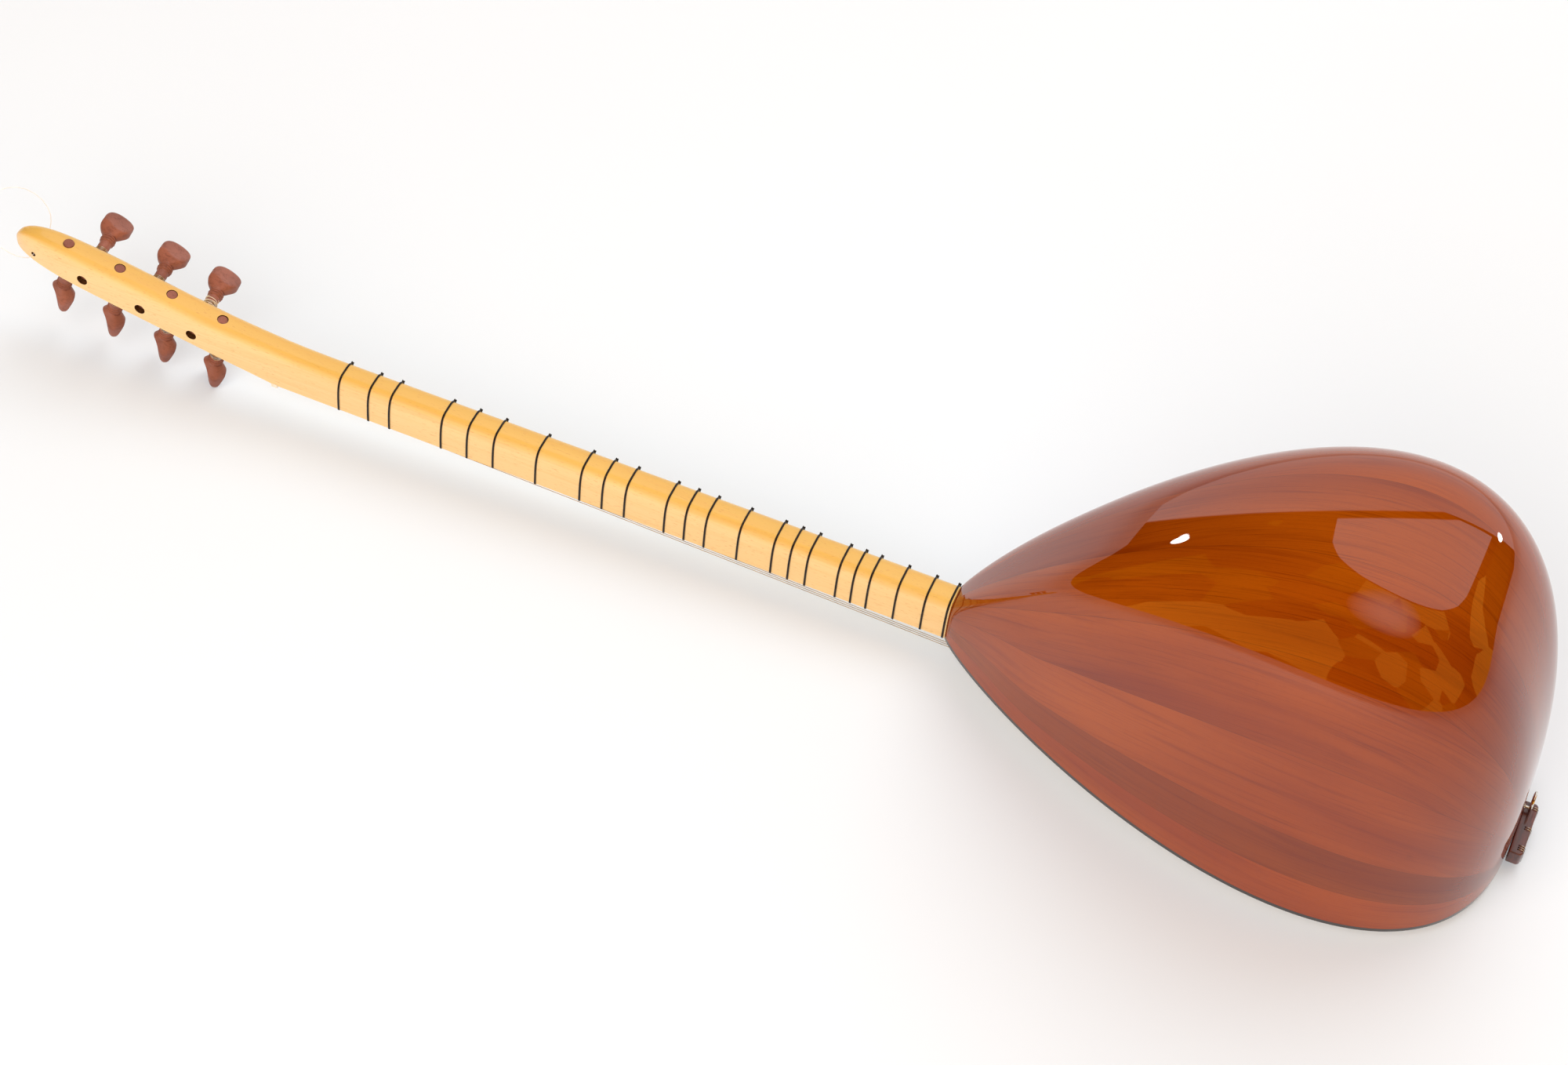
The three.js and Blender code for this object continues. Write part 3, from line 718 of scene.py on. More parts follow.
def station(t, inset=0.0):
    """x, half width, depth and roundness of the bowl for t from 0 at the neck to pi."""
    s = (1 - cos(t)) / 2
    heel = (1 - s) ** 3
    trim = inset * (1 - s ** 12)
    half = BOWL_HALF_WIDTH * PLAN.swell(t) + NECK_WIDTH_JOINT / 2 * heel - trim
    depth = BOWL_DEPTH * SIDE.swell(t) + NECK_DEPTH_JOINT * heel - trim
    rise = lerp(NECK_SQUARENESS, BOWL_RISE, smooth(s, 0, 0.2))
    return NECK_LENGTH + (BOWL_LENGTH - inset) * s, half, depth, rise


def bowl_point(t, angle, inset=0.0):
    x, half, depth, rise = station(t, inset)
    c = cos(angle)
    y = -half * copysign(abs(c) ** BOWL_SQUARENESS, c)
    return Vector((x, y, max(depth, 0.01) * abs(sin(angle)) ** rise))


def bowl_normal(t, angle):
    step = 1e-4
    along = bowl_point(t + step, angle) - bowl_point(t - step, angle)
    across = bowl_point(t, angle + step) - bowl_point(t, angle - step)
    return across.cross(along).normalized() * -1


def angle_at_height(t, height, inset=0.0):
    _, _, depth, rise = station(t, inset)
    return asin(min(height / depth, 1) ** (1 / rise))


BOWL_START = 0.055               # t where the staves begin, just behind the neck joint
BOWL_END = pi - 0.035       # t where they meet on the tail block
BOWL_STEPS = 110


def stave(index):
    """One bent stave: outer face, inner face and the four edges between them."""
    start = radians(SEAMS[index])
    end = radians(SEAMS[index + 1])
    cells = max(4, round((end - start) / 0.05 / 2) * 2)
    rim = BINDING_HEIGHT + 0.05
    ts = [lerp(BOWL_START, BOWL_END, v) for v in span(BOWL_STEPS)]
    outer, inner, normals = [], [], []
    for t in ts:
        rows = []
        for inset in (0.0, SHELL):
            low = angle_at_height(t, rim, inset)
            a = max(start, low)
            b = min(end, pi - low)
            b = max(b, a + 1e-4)
            angles = [lerp(a, b, v) for v in span(cells + 1)]
            rows.append([bowl_point(t, angle, inset) for angle in angles])
            if inset == 0.0:
                normals.append([bowl_normal(t, angle) for angle in angles])
        outer.append(rows[0])
        inner.append(rows[1])
    shape = Shape()
    count = cells + 1
    shape.points = [tuple(p) for row in outer for p in row] + [tuple(p) for row in inner for p in row]
    half = len(ts) * count
    for r in range(len(ts) - 1):
        for i in range(cells):
            a = r * count + i
            shape.faces.append((a, a + 1, a + count + 1, a + count))
    outer_faces = len(shape.faces)
    for r in range(len(ts) - 1):
        for i in range(cells):
            a = half + r * count + i
            shape.faces.append((a, a + count, a + count + 1, a + 1))
        for i in (0, cells):
            a = r * count + i
            shape.faces.append((a, a + count, half + a + count, half + a))
    for r in (0, len(ts) - 1):
        for i in range(cells):
            a = r * count + i
            shape.faces.append((a, a + 1, half + a + 1, half + a))
    number = index + 1
    look = bowl_wood(number, STAVE_TONES[index])
    name = f"stave_shell_{number:02d}"
    mesh = new_mesh(name, shape)
    mesh.materials.append(look)
    piece = new_object(name, mesh)
    grain_attributes(mesh, outer, inner)
    polish(mesh, [n for row in normals for n in row], outer_faces)
    declare(piece, "root", f"stave_{number:02d}")


def grain_attributes(mesh, outer, inner):
    """Lays the grain along the stave: metres along and across it, and mm to its nearest edge."""
    grain, edge = [], []
    for rows in (outer, inner):
        along = 0.0
        for r, row in enumerate(rows):
            middle = len(row) // 2
            if r:
                along += (row[middle] - rows[r - 1][middle]).length * MM
            reach = [0.0]
            for a, b in zip(row, row[1:]):
                reach.append(reach[-1] + (b - a).length)
            for place in reach:
                grain += [along, (place - reach[middle]) * MM, 0.0]
                edge.append(min(place, reach[-1] - place))
    mesh.attributes.new("grain", "FLOAT_VECTOR", "POINT").data.foreach_set("vector", grain)
    mesh.attributes.new("edge", "FLOAT", "POINT").data.foreach_set("value", edge)


def polish(mesh, normals, outer_faces):
    """Gives the outer face the true normals of the bowl, so that reflections run on over seams."""
    shade(mesh)
    loops = [Vector((0, 0, 0))] * len(mesh.loops)
    for face in mesh.polygons[:outer_faces]:
        for loop in face.loop_indices:
            normal = normals[mesh.loops[loop].vertex_index]
            loops[loop] = normal if normal.dot(face.normal) > 0 else -normal
    mesh.normals_split_custom_set(loops)


def tail_block():
    """Block behind the bowl's tail that closes the round the stave ends leave."""
    def ring(t, above_binding, inset, back):
        low = angle_at_height(t, BINDING_HEIGHT + above_binding, inset)
        points = [bowl_point(t, lerp(low, pi - low, v), inset) for v in span(33)]
        return [(TAIL_X - back, p.y, p.z) for p in points]

    inside = pi - 0.10
    shape = Shape()
    shape.loft([
        ring(inside, 0.2, SHELL + 1, 20),
        ring(inside, 0.2, SHELL + 1, 3.2),
        ring(inside, 0.2, SHELL + 1.4, 3),
        ring(BOWL_END, 0.05, 0, 3),
        ring(BOWL_END, 0.05, 0, 0.12),
    ])
    build("tail_block_wood", shape, bowl_wood_plain(), node="tail_block")


def bowl_wood_plain():
    """The bowl's wood where it has no stave grain, with the grain across the block."""
    look = Look("bowl_wood_block", Coat_Weight=0.8, Coat_Roughness=0.05)
    figure = look.noise((200, 14, 60), detail=4, distortion=0.5)
    lines = look.noise((900, 20, 900), detail=3)
    base = look.tones(figure, 0.3, 0.7, rgb(0.20, 0.036, 0.004), rgb(0.30, 0.062, 0.007))
    base = look.mark(base, lines, 0.55, 0.75, 0.4, rgb(0.10, 0.018, 0.003))
    return look.finish(base, look.ramp(figure, 0.3, 0.7, 0.3, 0.42), lines, 0.05)


EDGE_STEPS = 140


def edge_curve(back):
    """Half of the bowl's edge stood back by a distance, from the neck joint to the tail."""
    ts = [lerp(0.03, pi, v) for v in span(EDGE_STEPS)]
    curve = []
    for t in ts:
        x, half, _, _ = station(t, back)
        curve.append((max(x, NECK_LENGTH + GAP), max(half, 0)))
    curve[-1] = (curve[-1][0], 0)
    return curve


def whole_edge(back):
    half = edge_curve(back)
    return half + [(x, -y) for x, y in reversed(half[:-1])]


def binding():
    """Black edge strip round the face, its corners eased."""
    ease = 0.35
    profile = [
        (0, ease), (ease, 0), (BINDING_WIDTH - 0.05, 0),
        (BINDING_WIDTH - 0.05, BINDING_HEIGHT), (0, BINDING_HEIGHT),
    ]
    curves = [(whole_edge(back), z) for back, z in profile]
    rings = [[(curve[i][0], curve[i][1], z) for curve, z in curves] for i in range(2 * EDGE_STEPS - 1)]
    shape = Shape()
    shape.loft(rings)
    build("edge_binding", shape, BLACK_BINDING, node="binding")


def soundboard():
    """Flat spruce plate inside the binding."""
    half = edge_curve(BINDING_WIDTH + 0.05)
    cells = 8
    rings = []
    for x, y in half[:-1]:
        wide = max(y, 0.05)
        row = [wide - 2 * wide * k / cells for k in range(cells + 1)]
        rings.append([(x, v, 0.02) for v in row] + [(x, v, BOARD) for v in reversed(row)])
    shape = Shape()
    shape.loft(rings)
    build("soundboard_plate", shape, SPRUCE, node="soundboard")


for stave_index in range(len(SEAMS) - 1):
    stave(stave_index)
tail_block()
binding()
soundboard()


# ---------------------------------------------------------------- neck

def stick(x):
    """Half width, depth and front height of neck and head at a distance from the nut."""
    front = max(-x, 0) * tan(HEAD_TILT)
    along = clamp(x / NECK_LENGTH)
    head = smooth(-x, 0, 60)
    softened = HEAD_BEND * log(1 + exp(clamp(-x / HEAD_BEND, -50, 50)))
    fill = tan(HEAD_TILT) * (softened - max(-x, 0))
    tip = clamp(1 - (HEAD_LENGTH * cos(HEAD_TILT) + x) / HEAD_TIP_TAPER)
    round_off = sqrt(1 - tip ** 3)
    thin_off = lerp(sqrt(1 - tip ** 5), 1, 0.15)
    width = lerp(lerp(NECK_WIDTH_NUT, NECK_WIDTH_JOINT, along), HEAD_WIDTH, head)
    depth = lerp(lerp(NECK_DEPTH_NUT, NECK_DEPTH_JOINT, along), HEAD_DEPTH, head) + fill
    half = width / 2 * lerp(round_off, 1, 0.05)
    return half, depth * thin_off - 2.5 * tip, front + depth * 0.22 * (1 - thin_off)


def neck_section(x, count=72):
    half, depth, front = stick(x)
    ring = []
    for v in span(count):
        # Angles crowd towards the corners, where the section turns fastest.
        a = pi * (v - sin(4 * pi * v) / (4 * pi) * 0.55)
        c = cos(a)
        y = -half * copysign(abs(c) ** NECK_SQUARENESS, c)
        ring.append((x, y, front + depth * max(sin(a), 0) ** NECK_SQUARENESS))
    return ring


def drill(place, length, low):
    """Tapered bore in a peg's own place."""
    narrow = PEG_SMALL + PEG_FIT
    wide = PEG_LARGE + PEG_FIT
    shape = lathe([(0, low), (narrow, low), (wide, low + length), (0, low + length)], 32)
    shape.move(place)
    return shape


def front_peg_place(s):
    turn = Matrix.Rotation(HEAD_TILT, 4, "Y") @ Matrix.Rotation(-pi / 2, 4, "X")
    return Matrix.Translation(on_head(s, FRONT_PEG_END, 0)) @ turn


def side_peg_place(s):
    end = on_head(s, SIDE_PEG_HEIGHT, SIDE_PEG_END)
    end.x -= tan(SIDE_PEG_LEAN) * SIDE_PEG_END * cos(HEAD_TILT)
    turn = Matrix.Rotation(HEAD_TILT, 4, "Y") @ Matrix.Rotation(SIDE_PEG_LEAN, 4, "Z")
    return Matrix.Translation(end) @ turn


def peg_radius(height):
    return lerp(PEG_SMALL, PEG_LARGE, clamp(height / PEG_TAPER))


def paint_shade_in_bores(piece, places, radius):
    """Gives the walls of the bores painted shade: the raw wood that shows inside them, painted dark."""
    piece.data.materials.append(BORE_PAINTED_SHADE)
    back = Matrix.Translation(at(0, 0, 0)) @ Matrix.Scale(MM, 4)
    for place in places:
        inside = (back @ place).inverted()
        for face in piece.data.polygons:
            spot = inside @ face.center
            aim = inside.to_3x3() @ face.normal
            reach = hypot(spot.x, spot.z)
            faces_axis = aim.x * spot.x + aim.z * spot.z < -0.2 * reach * aim.length
            if reach < radius and faces_axis and -20 < spot.y < 60:
                face.material_index = 1


def neck():
    """Beech neck and head in one piece, with the nut slot, peg bores and hang hole."""
    tip = -HEAD_LENGTH * cos(HEAD_TILT)
    rounded = [tip + HEAD_TIP_TAPER * (1 - sin(pi / 2 * v)) for v in span(34)]
    xs = [lerp(NECK_LENGTH, 40, v) for v in span(24)]
    xs += [lerp(34, -HEAD_TIP_TAPER, v) for v in span(26)]
    xs += [x for x in rounded if x < -HEAD_TIP_TAPER - 1]
    shape = Shape()
    shape.loft([neck_section(x) for x in sorted(xs)])
    piece = build("neck_and_head", shape, BEECH, node="neck")
    front = [front_peg_place(s) for s in FRONT_PEGS]
    side = [side_peg_place(s) for s in SIDE_PEGS]
    bores = [drill(place, 50, -8) for place in front] + [drill(place, 56, -14) for place in side]
    hole_place = Matrix.Translation(on_head(HEAD_LENGTH - HANG_HOLE_FROM_TIP, HANG_HOLE_HEIGHT, 0))
    hole = lathe([(0, -20), (HANG_HOLE, -20), (HANG_HOLE, 20), (0, 20)], 24)
    hole.move(hole_place)
    slot = Shape()
    slot.loft([[(x, -20, -5), (x, 20, -5), (x, 20, 1.25), (x, -20, 1.25)] for x in (-2.55, 2.55)])
    cut(piece, bores + [hole, slot], sharp=30)
    # Painted shade on the walls of the peg bores and of the hang hole.
    paint_shade_in_bores(piece, front + side, PEG_LARGE + 0.4)
    paint_shade_in_bores(piece, [hole_place], HANG_HOLE + 0.1)


def prism(profile, low, high):
    """Profile in y and z, given thickness along x."""
    shape = Shape()
    shape.loft([[(x, y, z) for y, z in profile] for x in (low, high)])
    return shape


def notched(places, z, depth, width, left, right):
    """Edge from left to right at height z, with a notch for each string."""
    line = [(left, z)]
    for place in sorted(places):
        line += [(place - width, z), (place - width * 0.4, z + depth)]
        line += [(place + width * 0.4, z + depth), (place + width, z)]
    line.append((right, z))
    return line


def nut():
    """Bone nut in its slot, its front edge notched for the strings."""
    wide = NECK_WIDTH_NUT / 2 + 0.6
    profile = notched([s[0] for s in STRINGS], -NUT_HEIGHT, 0.28, 0.42, -wide, wide)
    profile += [(wide, 1.2), (-wide, 1.2)]
    piece = build("string_nut", prism(profile, -2.5, 2.5), BONE, node="nut")
    bevel(piece, 0.12, 2, 60)


def bridge():
    """Loose bridge on two feet, arched between them and notched for the strings."""
    half = 29
    foot = 12
    arch = [(lerp(foot - half, half - foot, v), -4.5 * sin(pi * v) ** 0.45) for v in span(25)]
    waist = [(half - 5 * v, -0.3 - (BRIDGE_HEIGHT - 0.3) * v ** 1.4) for v in span(7)]
    top = notched([s[1] for s in STRINGS], -BRIDGE_HEIGHT, 0.3, 0.45, 5 - half, half - 5)
    profile = [(-half, -0.3)] + [(y, min(z, -0.3)) for y, z in arch] + waist[:-1]
    profile += list(reversed(top)) + [(-y, z) for y, z in reversed(waist[1:-1])]
    piece = build("string_bridge", prism(profile, SCALE - 2.5, SCALE + 2.5), BRIDGE_WOOD,
                  node="bridge")
    bevel(piece, 0.2, 2, 60)


neck()
nut()
bridge()


# ---------------------------------------------------------------- pegs

KNOB_TWIST = radians(32)
KNOB_ROOT = (5.4, 4.3)           # half width and half thickness at the collar
KNOB_THICK = 6.9                 # half thickness at the ridge
KNOB_BLADE = 2.9                 # and at the top
KNOB_RIDGE = 0.30                # share of the knob's height where its faces break
KNOB_SHOULDER = 0.42             # share where it is at its full width
KNOB_CROWN = 0.64                # share where its top starts to round off


def knob_width(v):
    """Half width of the grip at a share of its height."""
    root, _ = KNOB_ROOT
    flare = lerp(root, KNOB_WIDTH / 2, sin(pi / 2 * clamp(v / KNOB_SHOULDER)) ** 0.85)
    crown = clamp((v - KNOB_CROWN) / (1 - KNOB_CROWN))
    return flare * max(1 - crown ** 2.8, 0) ** 0.45


def knob_thickness(v):
    """Half thickness: growing up to the ridge, then a blade that thins towards the top."""
    _, root = KNOB_ROOT
    if v < KNOB_RIDGE:
        return lerp(root, KNOB_THICK, v / KNOB_RIDGE)
    return lerp(KNOB_THICK, KNOB_BLADE, (v - KNOB_RIDGE) / (1 - KNOB_RIDGE))


def knob(collar_end, turn):
    """Carved grip: two flat faces over slanting shoulders whose ridge runs on a slant."""
    rings = []
    for v in span(56):
        height = 1 - (1 - v) ** 1.3
        top = max(1 - clamp((height - 0.86) / 0.14) ** 2, 0) ** 0.5
        wide = max(knob_width(height), 0.05)
        square = 2.0 + 1.5 * sin(pi * clamp(height * 0.9 + 0.1))
        twist = Matrix.Rotation(turn + KNOB_TWIST * (height - 0.5), 3, "Y")
        ring = []
        for phi in circle(64):
            slant = 0.16 * sin(2 * phi) * sin(pi * height)
            thick = max(knob_thickness(clamp(height + slant)) * top, 0.05)
            c, s = cos(phi), sin(phi)
            reach = (abs(c) ** square + abs(s) ** square) ** (-1 / square)
            level = collar_end + KNOB_HEIGHT * height
            ring.append(twist @ Vector((wide * reach * c, level, thick * reach * s)))
        rings.append(ring)
    shape = Shape()
    shape.loft(rings)
    return shape


def turned_part(shank):
    """Shank and three fine beads below the grip."""
    collar = shank + COLLAR_LENGTH
    profile = [(0, 0), (PEG_SMALL - 0.3, 0), (PEG_SMALL, 0.3)]
    profile += [(peg_radius(shank * v), shank * v) for v in span(12)[1:]]
    bead_start = shank + 0.2
    bead = (COLLAR_LENGTH - 1.2) / 3
    for k, size in enumerate((5.8, COLLAR, 6.0)):
        for v in span(9)[1:-1]:
            swell = sin(pi * v) ** 0.45
            profile.append((lerp(3.9, size, swell), bead_start + bead * (k + v)))
    profile += [(4.7, collar - 0.7), (5.0, collar), (5.0, collar + 1.5), (0, collar + 1.5)]
    return lathe(profile)


def peg(name, node, place, shank, turn):
    shape = merge(turned_part(shank), knob(shank + COLLAR_LENGTH, turn))
    shape.move(place)
    build(name, shape, ROSEWOOD, body=node, node=node, sharp=32)


for number, s in enumerate(FRONT_PEGS, 1):
    peg(f"front_tuner_{number}", f"front_peg_{number}", front_peg_place(s), FRONT_SHANK, FRONT_KNOB_TURN)
for number, s in enumerate(SIDE_PEGS, 1):
    peg(f"side_tuner_{number}", f"side_peg_{number}", side_peg_place(s), SIDE_SHANK, 0)


def helix(place, radius, start, pitch, turns, phase, sense, steps=20):
    """Turns round a peg's own axis, in nut millimetres."""
    path = []
    for k in range(int(turns * steps) + 1):
        a = phase + sense * 2 * pi * k / steps
        path.append(place @ Vector((radius * cos(a), start + pitch * k / steps, radius * sin(a))))
    return path


def peg_thread():
    """Cream thread wound criss-cross on the side peg next to the nut."""
    place = side_peg_place(SIDE_PEGS[0])
    start = HEAD_WIDTH / 2 - SIDE_PEG_END + 3.0
    out = helix(place, peg_radius(start) + 0.30, start, 2.6, 4, 0.4, 1)
    back = helix(place, peg_radius(start) + 0.75, start + 9.6, -4.6, 2.1, 2.2, 1)
    shape = merge(tube(out, 0.32, 8), tube(back, 0.32, 8))
    build("peg_thread", shape, CREAM_THREAD, body="side_peg_1")


peg_thread()


# ---------------------------------------------------------------- frets

def fret_path(x, off):
    """Closed line round the neck, standing off it by a distance."""
    half, depth, front = stick(x)
    reach, tall, ease = half + off, depth + off, 1.1
    path = []
    for v in span(61):
        a = lerp(0.0005, pi - 0.0005, v - sin(4 * pi * v) / (4 * pi) * 0.5)
        c = cos(a)
        y = -reach * copysign(abs(c) ** NECK_SQUARENESS, c)
        z = front + tall * sin(a) ** NECK_SQUARENESS
        if z > front + ease:
            path.append((x, y, z))
    corner = []
    for v in span(6):
        a = pi / 2 * v
        corner.append((reach - ease + ease * cos(a), front - off + ease - ease * sin(a)))
    path += [(x, y, z) for y, z in corner]
    path += [(x, lerp(reach - ease, ease - reach, v), front - off) for v in span(9)[1:-1]]
    path += [(x, -y, z) for y, z in reversed(corner)]
    return path


def fret(number, ratio):
    """Two strands side by side, tied with a small knot on the far shoulder."""
    x = SCALE * (1 - 1 / ratio)
    paths = [fret_path(x + side * FRET_STRAND, FRET_STRAND + 0.08) for side in (-1, 1)]
    strands = [tube(path, FRET_STRAND, 8, loop=True) for path in paths]
    half, depth, front = stick(x)
    y = (half + KNOT_OFF) * abs(cos(KNOT_ANGLE)) ** NECK_SQUARENESS
    spot = Vector((x, y, front + (depth + KNOT_OFF) * sin(KNOT_ANGLE) ** NECK_SQUARENESS))
    across = Vector((1, 0, 0))
    tangent = Vector((0, -0.80, -0.60))
    outward = Vector((0, -0.60, 0.80))
    wraps = []
    for k in range(37):
        turn = 2 * pi * k / 12
        along = tangent * (k / 36 - 0.5) * 1.9
        wraps.append(spot + along + across * cos(turn) * 0.95 + outward * sin(turn) * 0.5)
    ends = [
        [spot + tangent * 0.8, spot + across * 0.9 + tangent * 1.5 + outward * 0.1],
        [spot - tangent * 0.8, spot - across * 0.9 - tangent * 1.4 + outward * 0.1],
    ]
    knot = [tube(wraps, 0.34, 8)] + [tube(end, 0.32, 8) for end in ends]
    node = f"fret_{number:02d}"
    build(f"tied_{node}", merge(*strands, *knot), BLACK_NYLON, body=node, node=node)


for number, ratio in enumerate(FRET_RATIOS, 1):
    fret(number, ratio)


# ---------------------------------------------------------------- strings and fittings

def string(number, nut_y, bridge_y, kind, peg_index):
    """Steel string from its hole in the tailpiece, over bridge and nut, to turns on its peg."""
    lift = GAP + 0.25
    out = TAIL_X + GAP + TAILPIECE_WIDTH + lift
    tail_y = bridge_y * TAIL_SPREAD
    corners = [
        (TAIL_X + STRING_HOLE, tail_y, TAILPIECE_HIGH - 4),
        (TAIL_X + STRING_HOLE, tail_y, TAILPIECE_HIGH + 0.9),
        (out - 0.2, tail_y, TAILPIECE_HIGH + 0.5),
        (out, tail_y, TAILPIECE_LOW - lift),
        (TAIL_X, tail_y, TAILPIECE_LOW - lift),
        (SCALE, bridge_y, -BRIDGE_HEIGHT - STRING_RADIUS + 0.15),
        (0, nut_y, -NUT_HEIGHT - STRING_RADIUS + 0.12),
    ]
    if kind == "front":
        place = front_peg_place(FRONT_PEGS[peg_index])
        start = FRONT_PEG_END + FRONT_WINDING[peg_index] - 2.2
    else:
        s = SIDE_PEGS[peg_index]
        place = side_peg_place(s)
        start = HEAD_WIDTH / 2 - SIDE_PEG_END + 3.5
        corners.append(on_head(s - 16, -1.4, HEAD_WIDTH / 2 + 1))
    radius = peg_radius(start) + STRING_RADIUS + 0.04
    turns = helix(place, radius, start, 1.15, 4, -pi / 2, -1)
    path = fillet(corners + [turns[0]], 2.2) + turns[1:]
    build(f"wire_string_{number}", tube(path, STRING_RADIUS, 8), STEEL,
          node=f"string_{number}")


def tailpiece():
    """Round-ended block that the strings wrap over, with a hole for each on its top."""
    half = TAILPIECE_LENGTH / 2
    near = TAIL_X + GAP
    middle = near + TAILPIECE_WIDTH - TAILPIECE_ROUND
    outline = [(near, -half), (near, half)]
    for begin, y in ((pi / 2, half - TAILPIECE_ROUND), (0, TAILPIECE_ROUND - half)):
        for v in span(9):
            a = begin - pi / 2 * v
            outline.append((middle + TAILPIECE_ROUND * cos(a), y + TAILPIECE_ROUND * sin(a)))
    shape = Shape()
    shape.loft([[(x, y, z) for x, y in outline] for z in (TAILPIECE_LOW, TAILPIECE_HIGH)])
    piece = build("tail_rest", shape, DARK_ROSEWOOD, node="tailpiece")
    bevel(piece, 1.1, 4, 50)
    holes = []
    for _, bridge_y, _, _ in STRINGS:
        x, y = TAIL_X + STRING_HOLE, bridge_y * TAIL_SPREAD
        ring = [(x + 0.6 * cos(a), y + 0.6 * sin(a)) for a in circle(16)]
        hole = Shape()
        hole.loft([[(x, y, z) for x, y in ring] for z in (TAILPIECE_HIGH - 5, TAILPIECE_HIGH + 2)])
        holes.append(hole)
    cut(piece, holes)


EYE_Y = 15.5
EYE_Z = 14.6
EYE_WIRE = 1.1
EYE_RING = 6.2
EYE_X = TAIL_X + 5
EYE_LEAN = 0.55


def strap_eye():
    """Screw eye: ring, neck, small collar and the screw in the tail block."""
    foot = Vector((EYE_X, EYE_Y, EYE_Z))
    centre = foot + Vector((0, sin(EYE_LEAN), cos(EYE_LEAN))) * EYE_RING
    ring = [centre + Vector((0, cos(a), sin(a))) * EYE_RING for a in circle(48)]
    profile = [(0, -20), (0.5, -19.2)]
    profile += [(EYE_WIRE if k % 2 else EYE_WIRE * 0.78, -18.8 + 0.5 * k) for k in range(30)]
    profile += [(EYE_WIRE, -3.6), (EYE_WIRE, -0.4), (0, 0.2)]
    shank = lathe(profile, 20)
    collar = lathe([(0, -5.1), (2.3, -5.1), (2.5, -4.8), (2.1, -4.2), (1.1, -3.9), (0, -3.9)], 28)
    turn = Matrix.Translation(foot) @ Matrix.Rotation(-pi / 2, 4, "Z")
    for part in (shank, collar):
        part.move(turn)
    build("strap_screw_eye", merge(tube(ring, EYE_WIRE, 14, loop=True), shank, collar), NICKEL,
          node="strap_eye")


for number, (nut_y, bridge_y, kind, peg_index) in enumerate(STRINGS, 1):
    string(number, nut_y, bridge_y, kind, peg_index)
tailpiece()
strap_eye()


def paint_inner_parts():
    """The two inner pieces keep their own shape and take finished wood."""
    for node, material in (("neck_block", BEECH), ("soundboard_bar", SPRUCE)):
        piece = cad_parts[node]
        for holder in piece.material_slots:
            holder.material = material


paint_inner_parts()


# ---------------------------------------------------------------- floor and light

def lie_line():
    """Floor height under a place: the saz lies on its bridge and on its front pegs."""
    rest_z = -BRIDGE_HEIGHT - 0.9
    slopes = []
    for k in range(len(FRONT_PEGS)):
        low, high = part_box(f"front_peg_{k + 1}")
        x = ((low[0] + high[0]) / 2 - NUT_X) / MM
        slopes.append((rest_z - low[2] / MM) / (SCALE - x))
    return SCALE, rest_z, max(slopes)


def floor():
    """Wide flat floor, tilted to touch the bridge and the front pegs."""
    rest_x, rest_z, slope = lie_line()
    mesh = bpy.data.meshes.new("floor")
    corners = [(-1, -1, 0), (1, -1, 0), (1, 1, 0), (-1, 1, 0)]
    mesh.from_pydata([Vector(corner) * FLOOR_REACH for corner in corners], [], [(0, 1, 2, 3)])
    mesh.materials.append(floor_look())
    ground = new_object("floor", mesh)
    ground.location = at(rest_x, 0, rest_z)
    ground.rotation_euler = (0, -atan(slope), 0)


def direction(azimuth, elevation):
    flat = cos(radians(elevation))
    return (
        cos(radians(azimuth)) * flat,
        sin(radians(azimuth)) * flat,
        sin(radians(elevation)),
    )


class Sky(Nodes):
    """World light that is bright all round but for a dim stretch of room, by direction."""

    def __init__(self):
        world = bpy.data.worlds.new("studio")
        bpy.context.scene.world = world
        world.use_nodes = True
        super().__init__(world.node_tree)
        self.aim = self.node("ShaderNodeTexCoord").outputs["Generated"]

    def disc(self, azimuth, elevation, radius, soft=0.2):
        """1 inside a round patch seen in a direction, 0 outside it."""
        towards = self.node("ShaderNodeVectorMath", {0: self.aim, 1: direction(azimuth, elevation)},
                            operation="DOT_PRODUCT").outputs["Value"]
        return self.ramp(towards, cos(radians(radius + soft)), cos(radians(radius)))

    def above(self, value, limit):
        return self.ramp(self.join("SUBTRACT", value, limit), -CRISP, CRISP)


WALL = (94, 0)                   # middle of the bright arched backdrop behind the saz
WALL_RADIUS = 46
SOFTBOX = (82, 40)               # round softbox that stands above the backdrop
SOFTBOX_RADIUS = 35
SHEET_EDGE = 0.145               # how far below the horizon the pale sheet ends, as a sine
SHEET_NEAR = 0.47                # the same on the side of the studio's tables
SHEET_RAGGED = 0.24              # how much its outline varies there
TABLES = (0.766, 0.643)
CRISP = 0.004                    # softness of every edge, as a sine
DARK_RIM = 1.1
DARK = rgb(0.02, 0.006, 0.0)
PALE = rgb(1.0, 1.01, 1.02)
FLOOR_REACH = 30                 # metres each way


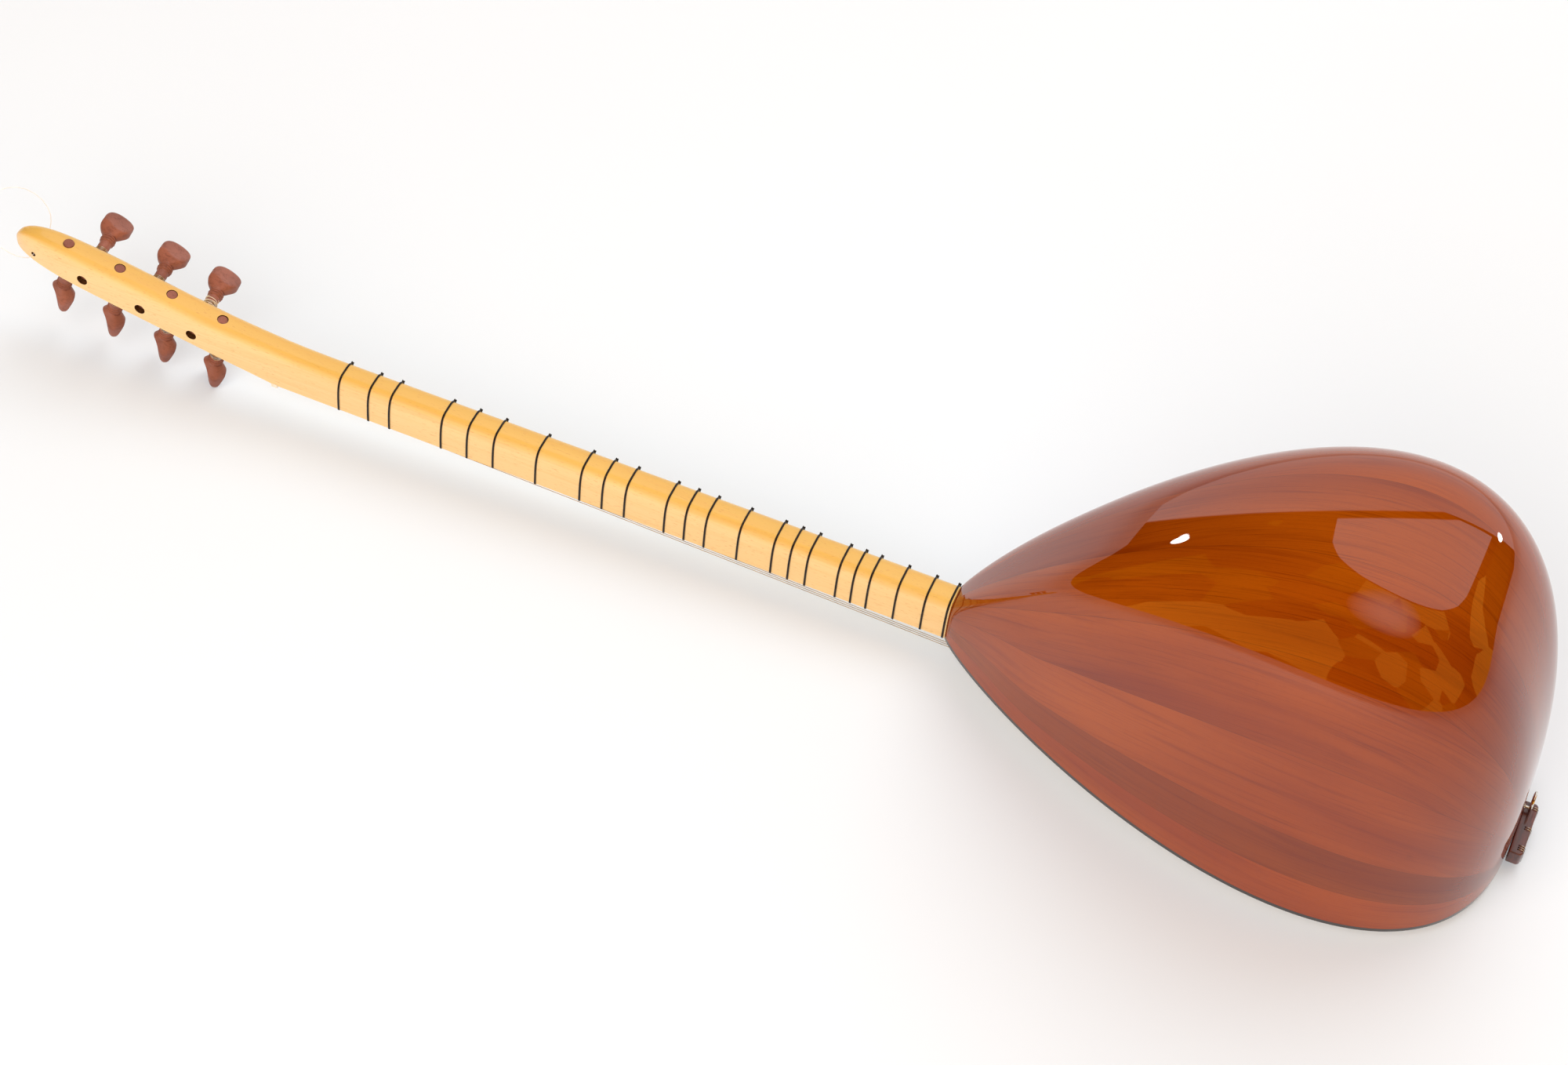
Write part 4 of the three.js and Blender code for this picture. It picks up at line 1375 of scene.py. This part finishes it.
def light_world():
    """Pale all round, but for a dim room over the sheet's edges, with a round softbox in it."""
    sky = Sky()
    split = sky.node("ShaderNodeSeparateXYZ", {0: sky.aim})
    x, y, z = [split.outputs[axis] for axis in "XYZ"]
    east, south = TABLES
    tables = sky.join("SUBTRACT", sky.join("MULTIPLY", x, east), sky.join("MULTIPLY", y, south))
    cells = sky.node("ShaderNodeTexVoronoi", {"Vector": sky.aim, "Scale": 3.1}).outputs["Color"]
    cell = sky.node("ShaderNodeSeparateXYZ", {0: cells}).outputs["X"]
    sheet_edge = sky.join("SUBTRACT", sky.join("MULTIPLY", cell, SHEET_RAGGED), SHEET_NEAR)
    near_room = sky.join("MULTIPLY", sky.above(z, sheet_edge), sky.above(tables, 0.0))
    room = sky.join("MAXIMUM", sky.above(z, -SHEET_EDGE), near_room)
    things = sky.mix(sky.ramp(cell, 0.55, 0.56), DARK, rgb(0.45, 0.20, 0.0))
    dim = sky.mix(sky.ramp(cell, 0.80, 0.81), things, rgb(1.4, 0.6, 0.05))
    colour = sky.mix(room, PALE, dim)
    glow = sky.disc(-60, 80, 6, 19)
    colour = sky.mix(sky.join("MULTIPLY", glow, 0.85), colour, rgb(1.3, 1.3, 1.3))
    colour = sky.mix(sky.disc(*SOFTBOX, SOFTBOX_RADIUS + DARK_RIM), colour, DARK)
    colour = sky.mix(sky.disc(*SOFTBOX, SOFTBOX_RADIUS), colour, rgb(1.15, 1.15, 1.15))
    colour = sky.mix(sky.disc(*WALL, WALL_RADIUS + DARK_RIM), colour, DARK)
    colour = sky.mix(sky.disc(*WALL, WALL_RADIUS), colour, PALE)
    floor_side = sky.above(-SHEET_EDGE, z)
    open_side = sky.join("MAXIMUM", sky.above(0.0, tables), sky.above(sheet_edge, z))
    colour = sky.mix(sky.join("MULTIPLY", floor_side, open_side), colour, PALE)
    lamps = sky.join("MAXIMUM", sky.disc(143, 7, 1.1, 0.3), sky.disc(50, 12, 1.6, 0.3))
    colour = sky.mix(lamps, colour, rgb(25, 25, 24))
    sky.feed(sky.tree.nodes["Background"].inputs["Color"], colour)


def area_light(name, place, target, size, power):
    """Round soft lamp that lights the scene and shows in no reflection."""
    data = bpy.data.lights.new(name, "AREA")
    data.shape = "DISK"
    data.size = size
    data.energy = power
    lamp = new_object(name, data)
    lamp.location = place
    lamp.rotation_euler = (Vector(target) - Vector(place)).to_track_quat("-Z", "Y").to_euler()
    lamp.visible_glossy = False


floor()
light_world()
area_light("key_light", (-0.2, 1.6, 2.6), (-0.3, 0, 0), 2.6, 46)
area_light("fill_light", (-0.8, -2.4, 2.0), (-0.4, 0, 0), 3.4, 80)
bpy.context.scene.view_settings.view_transform = "Standard"
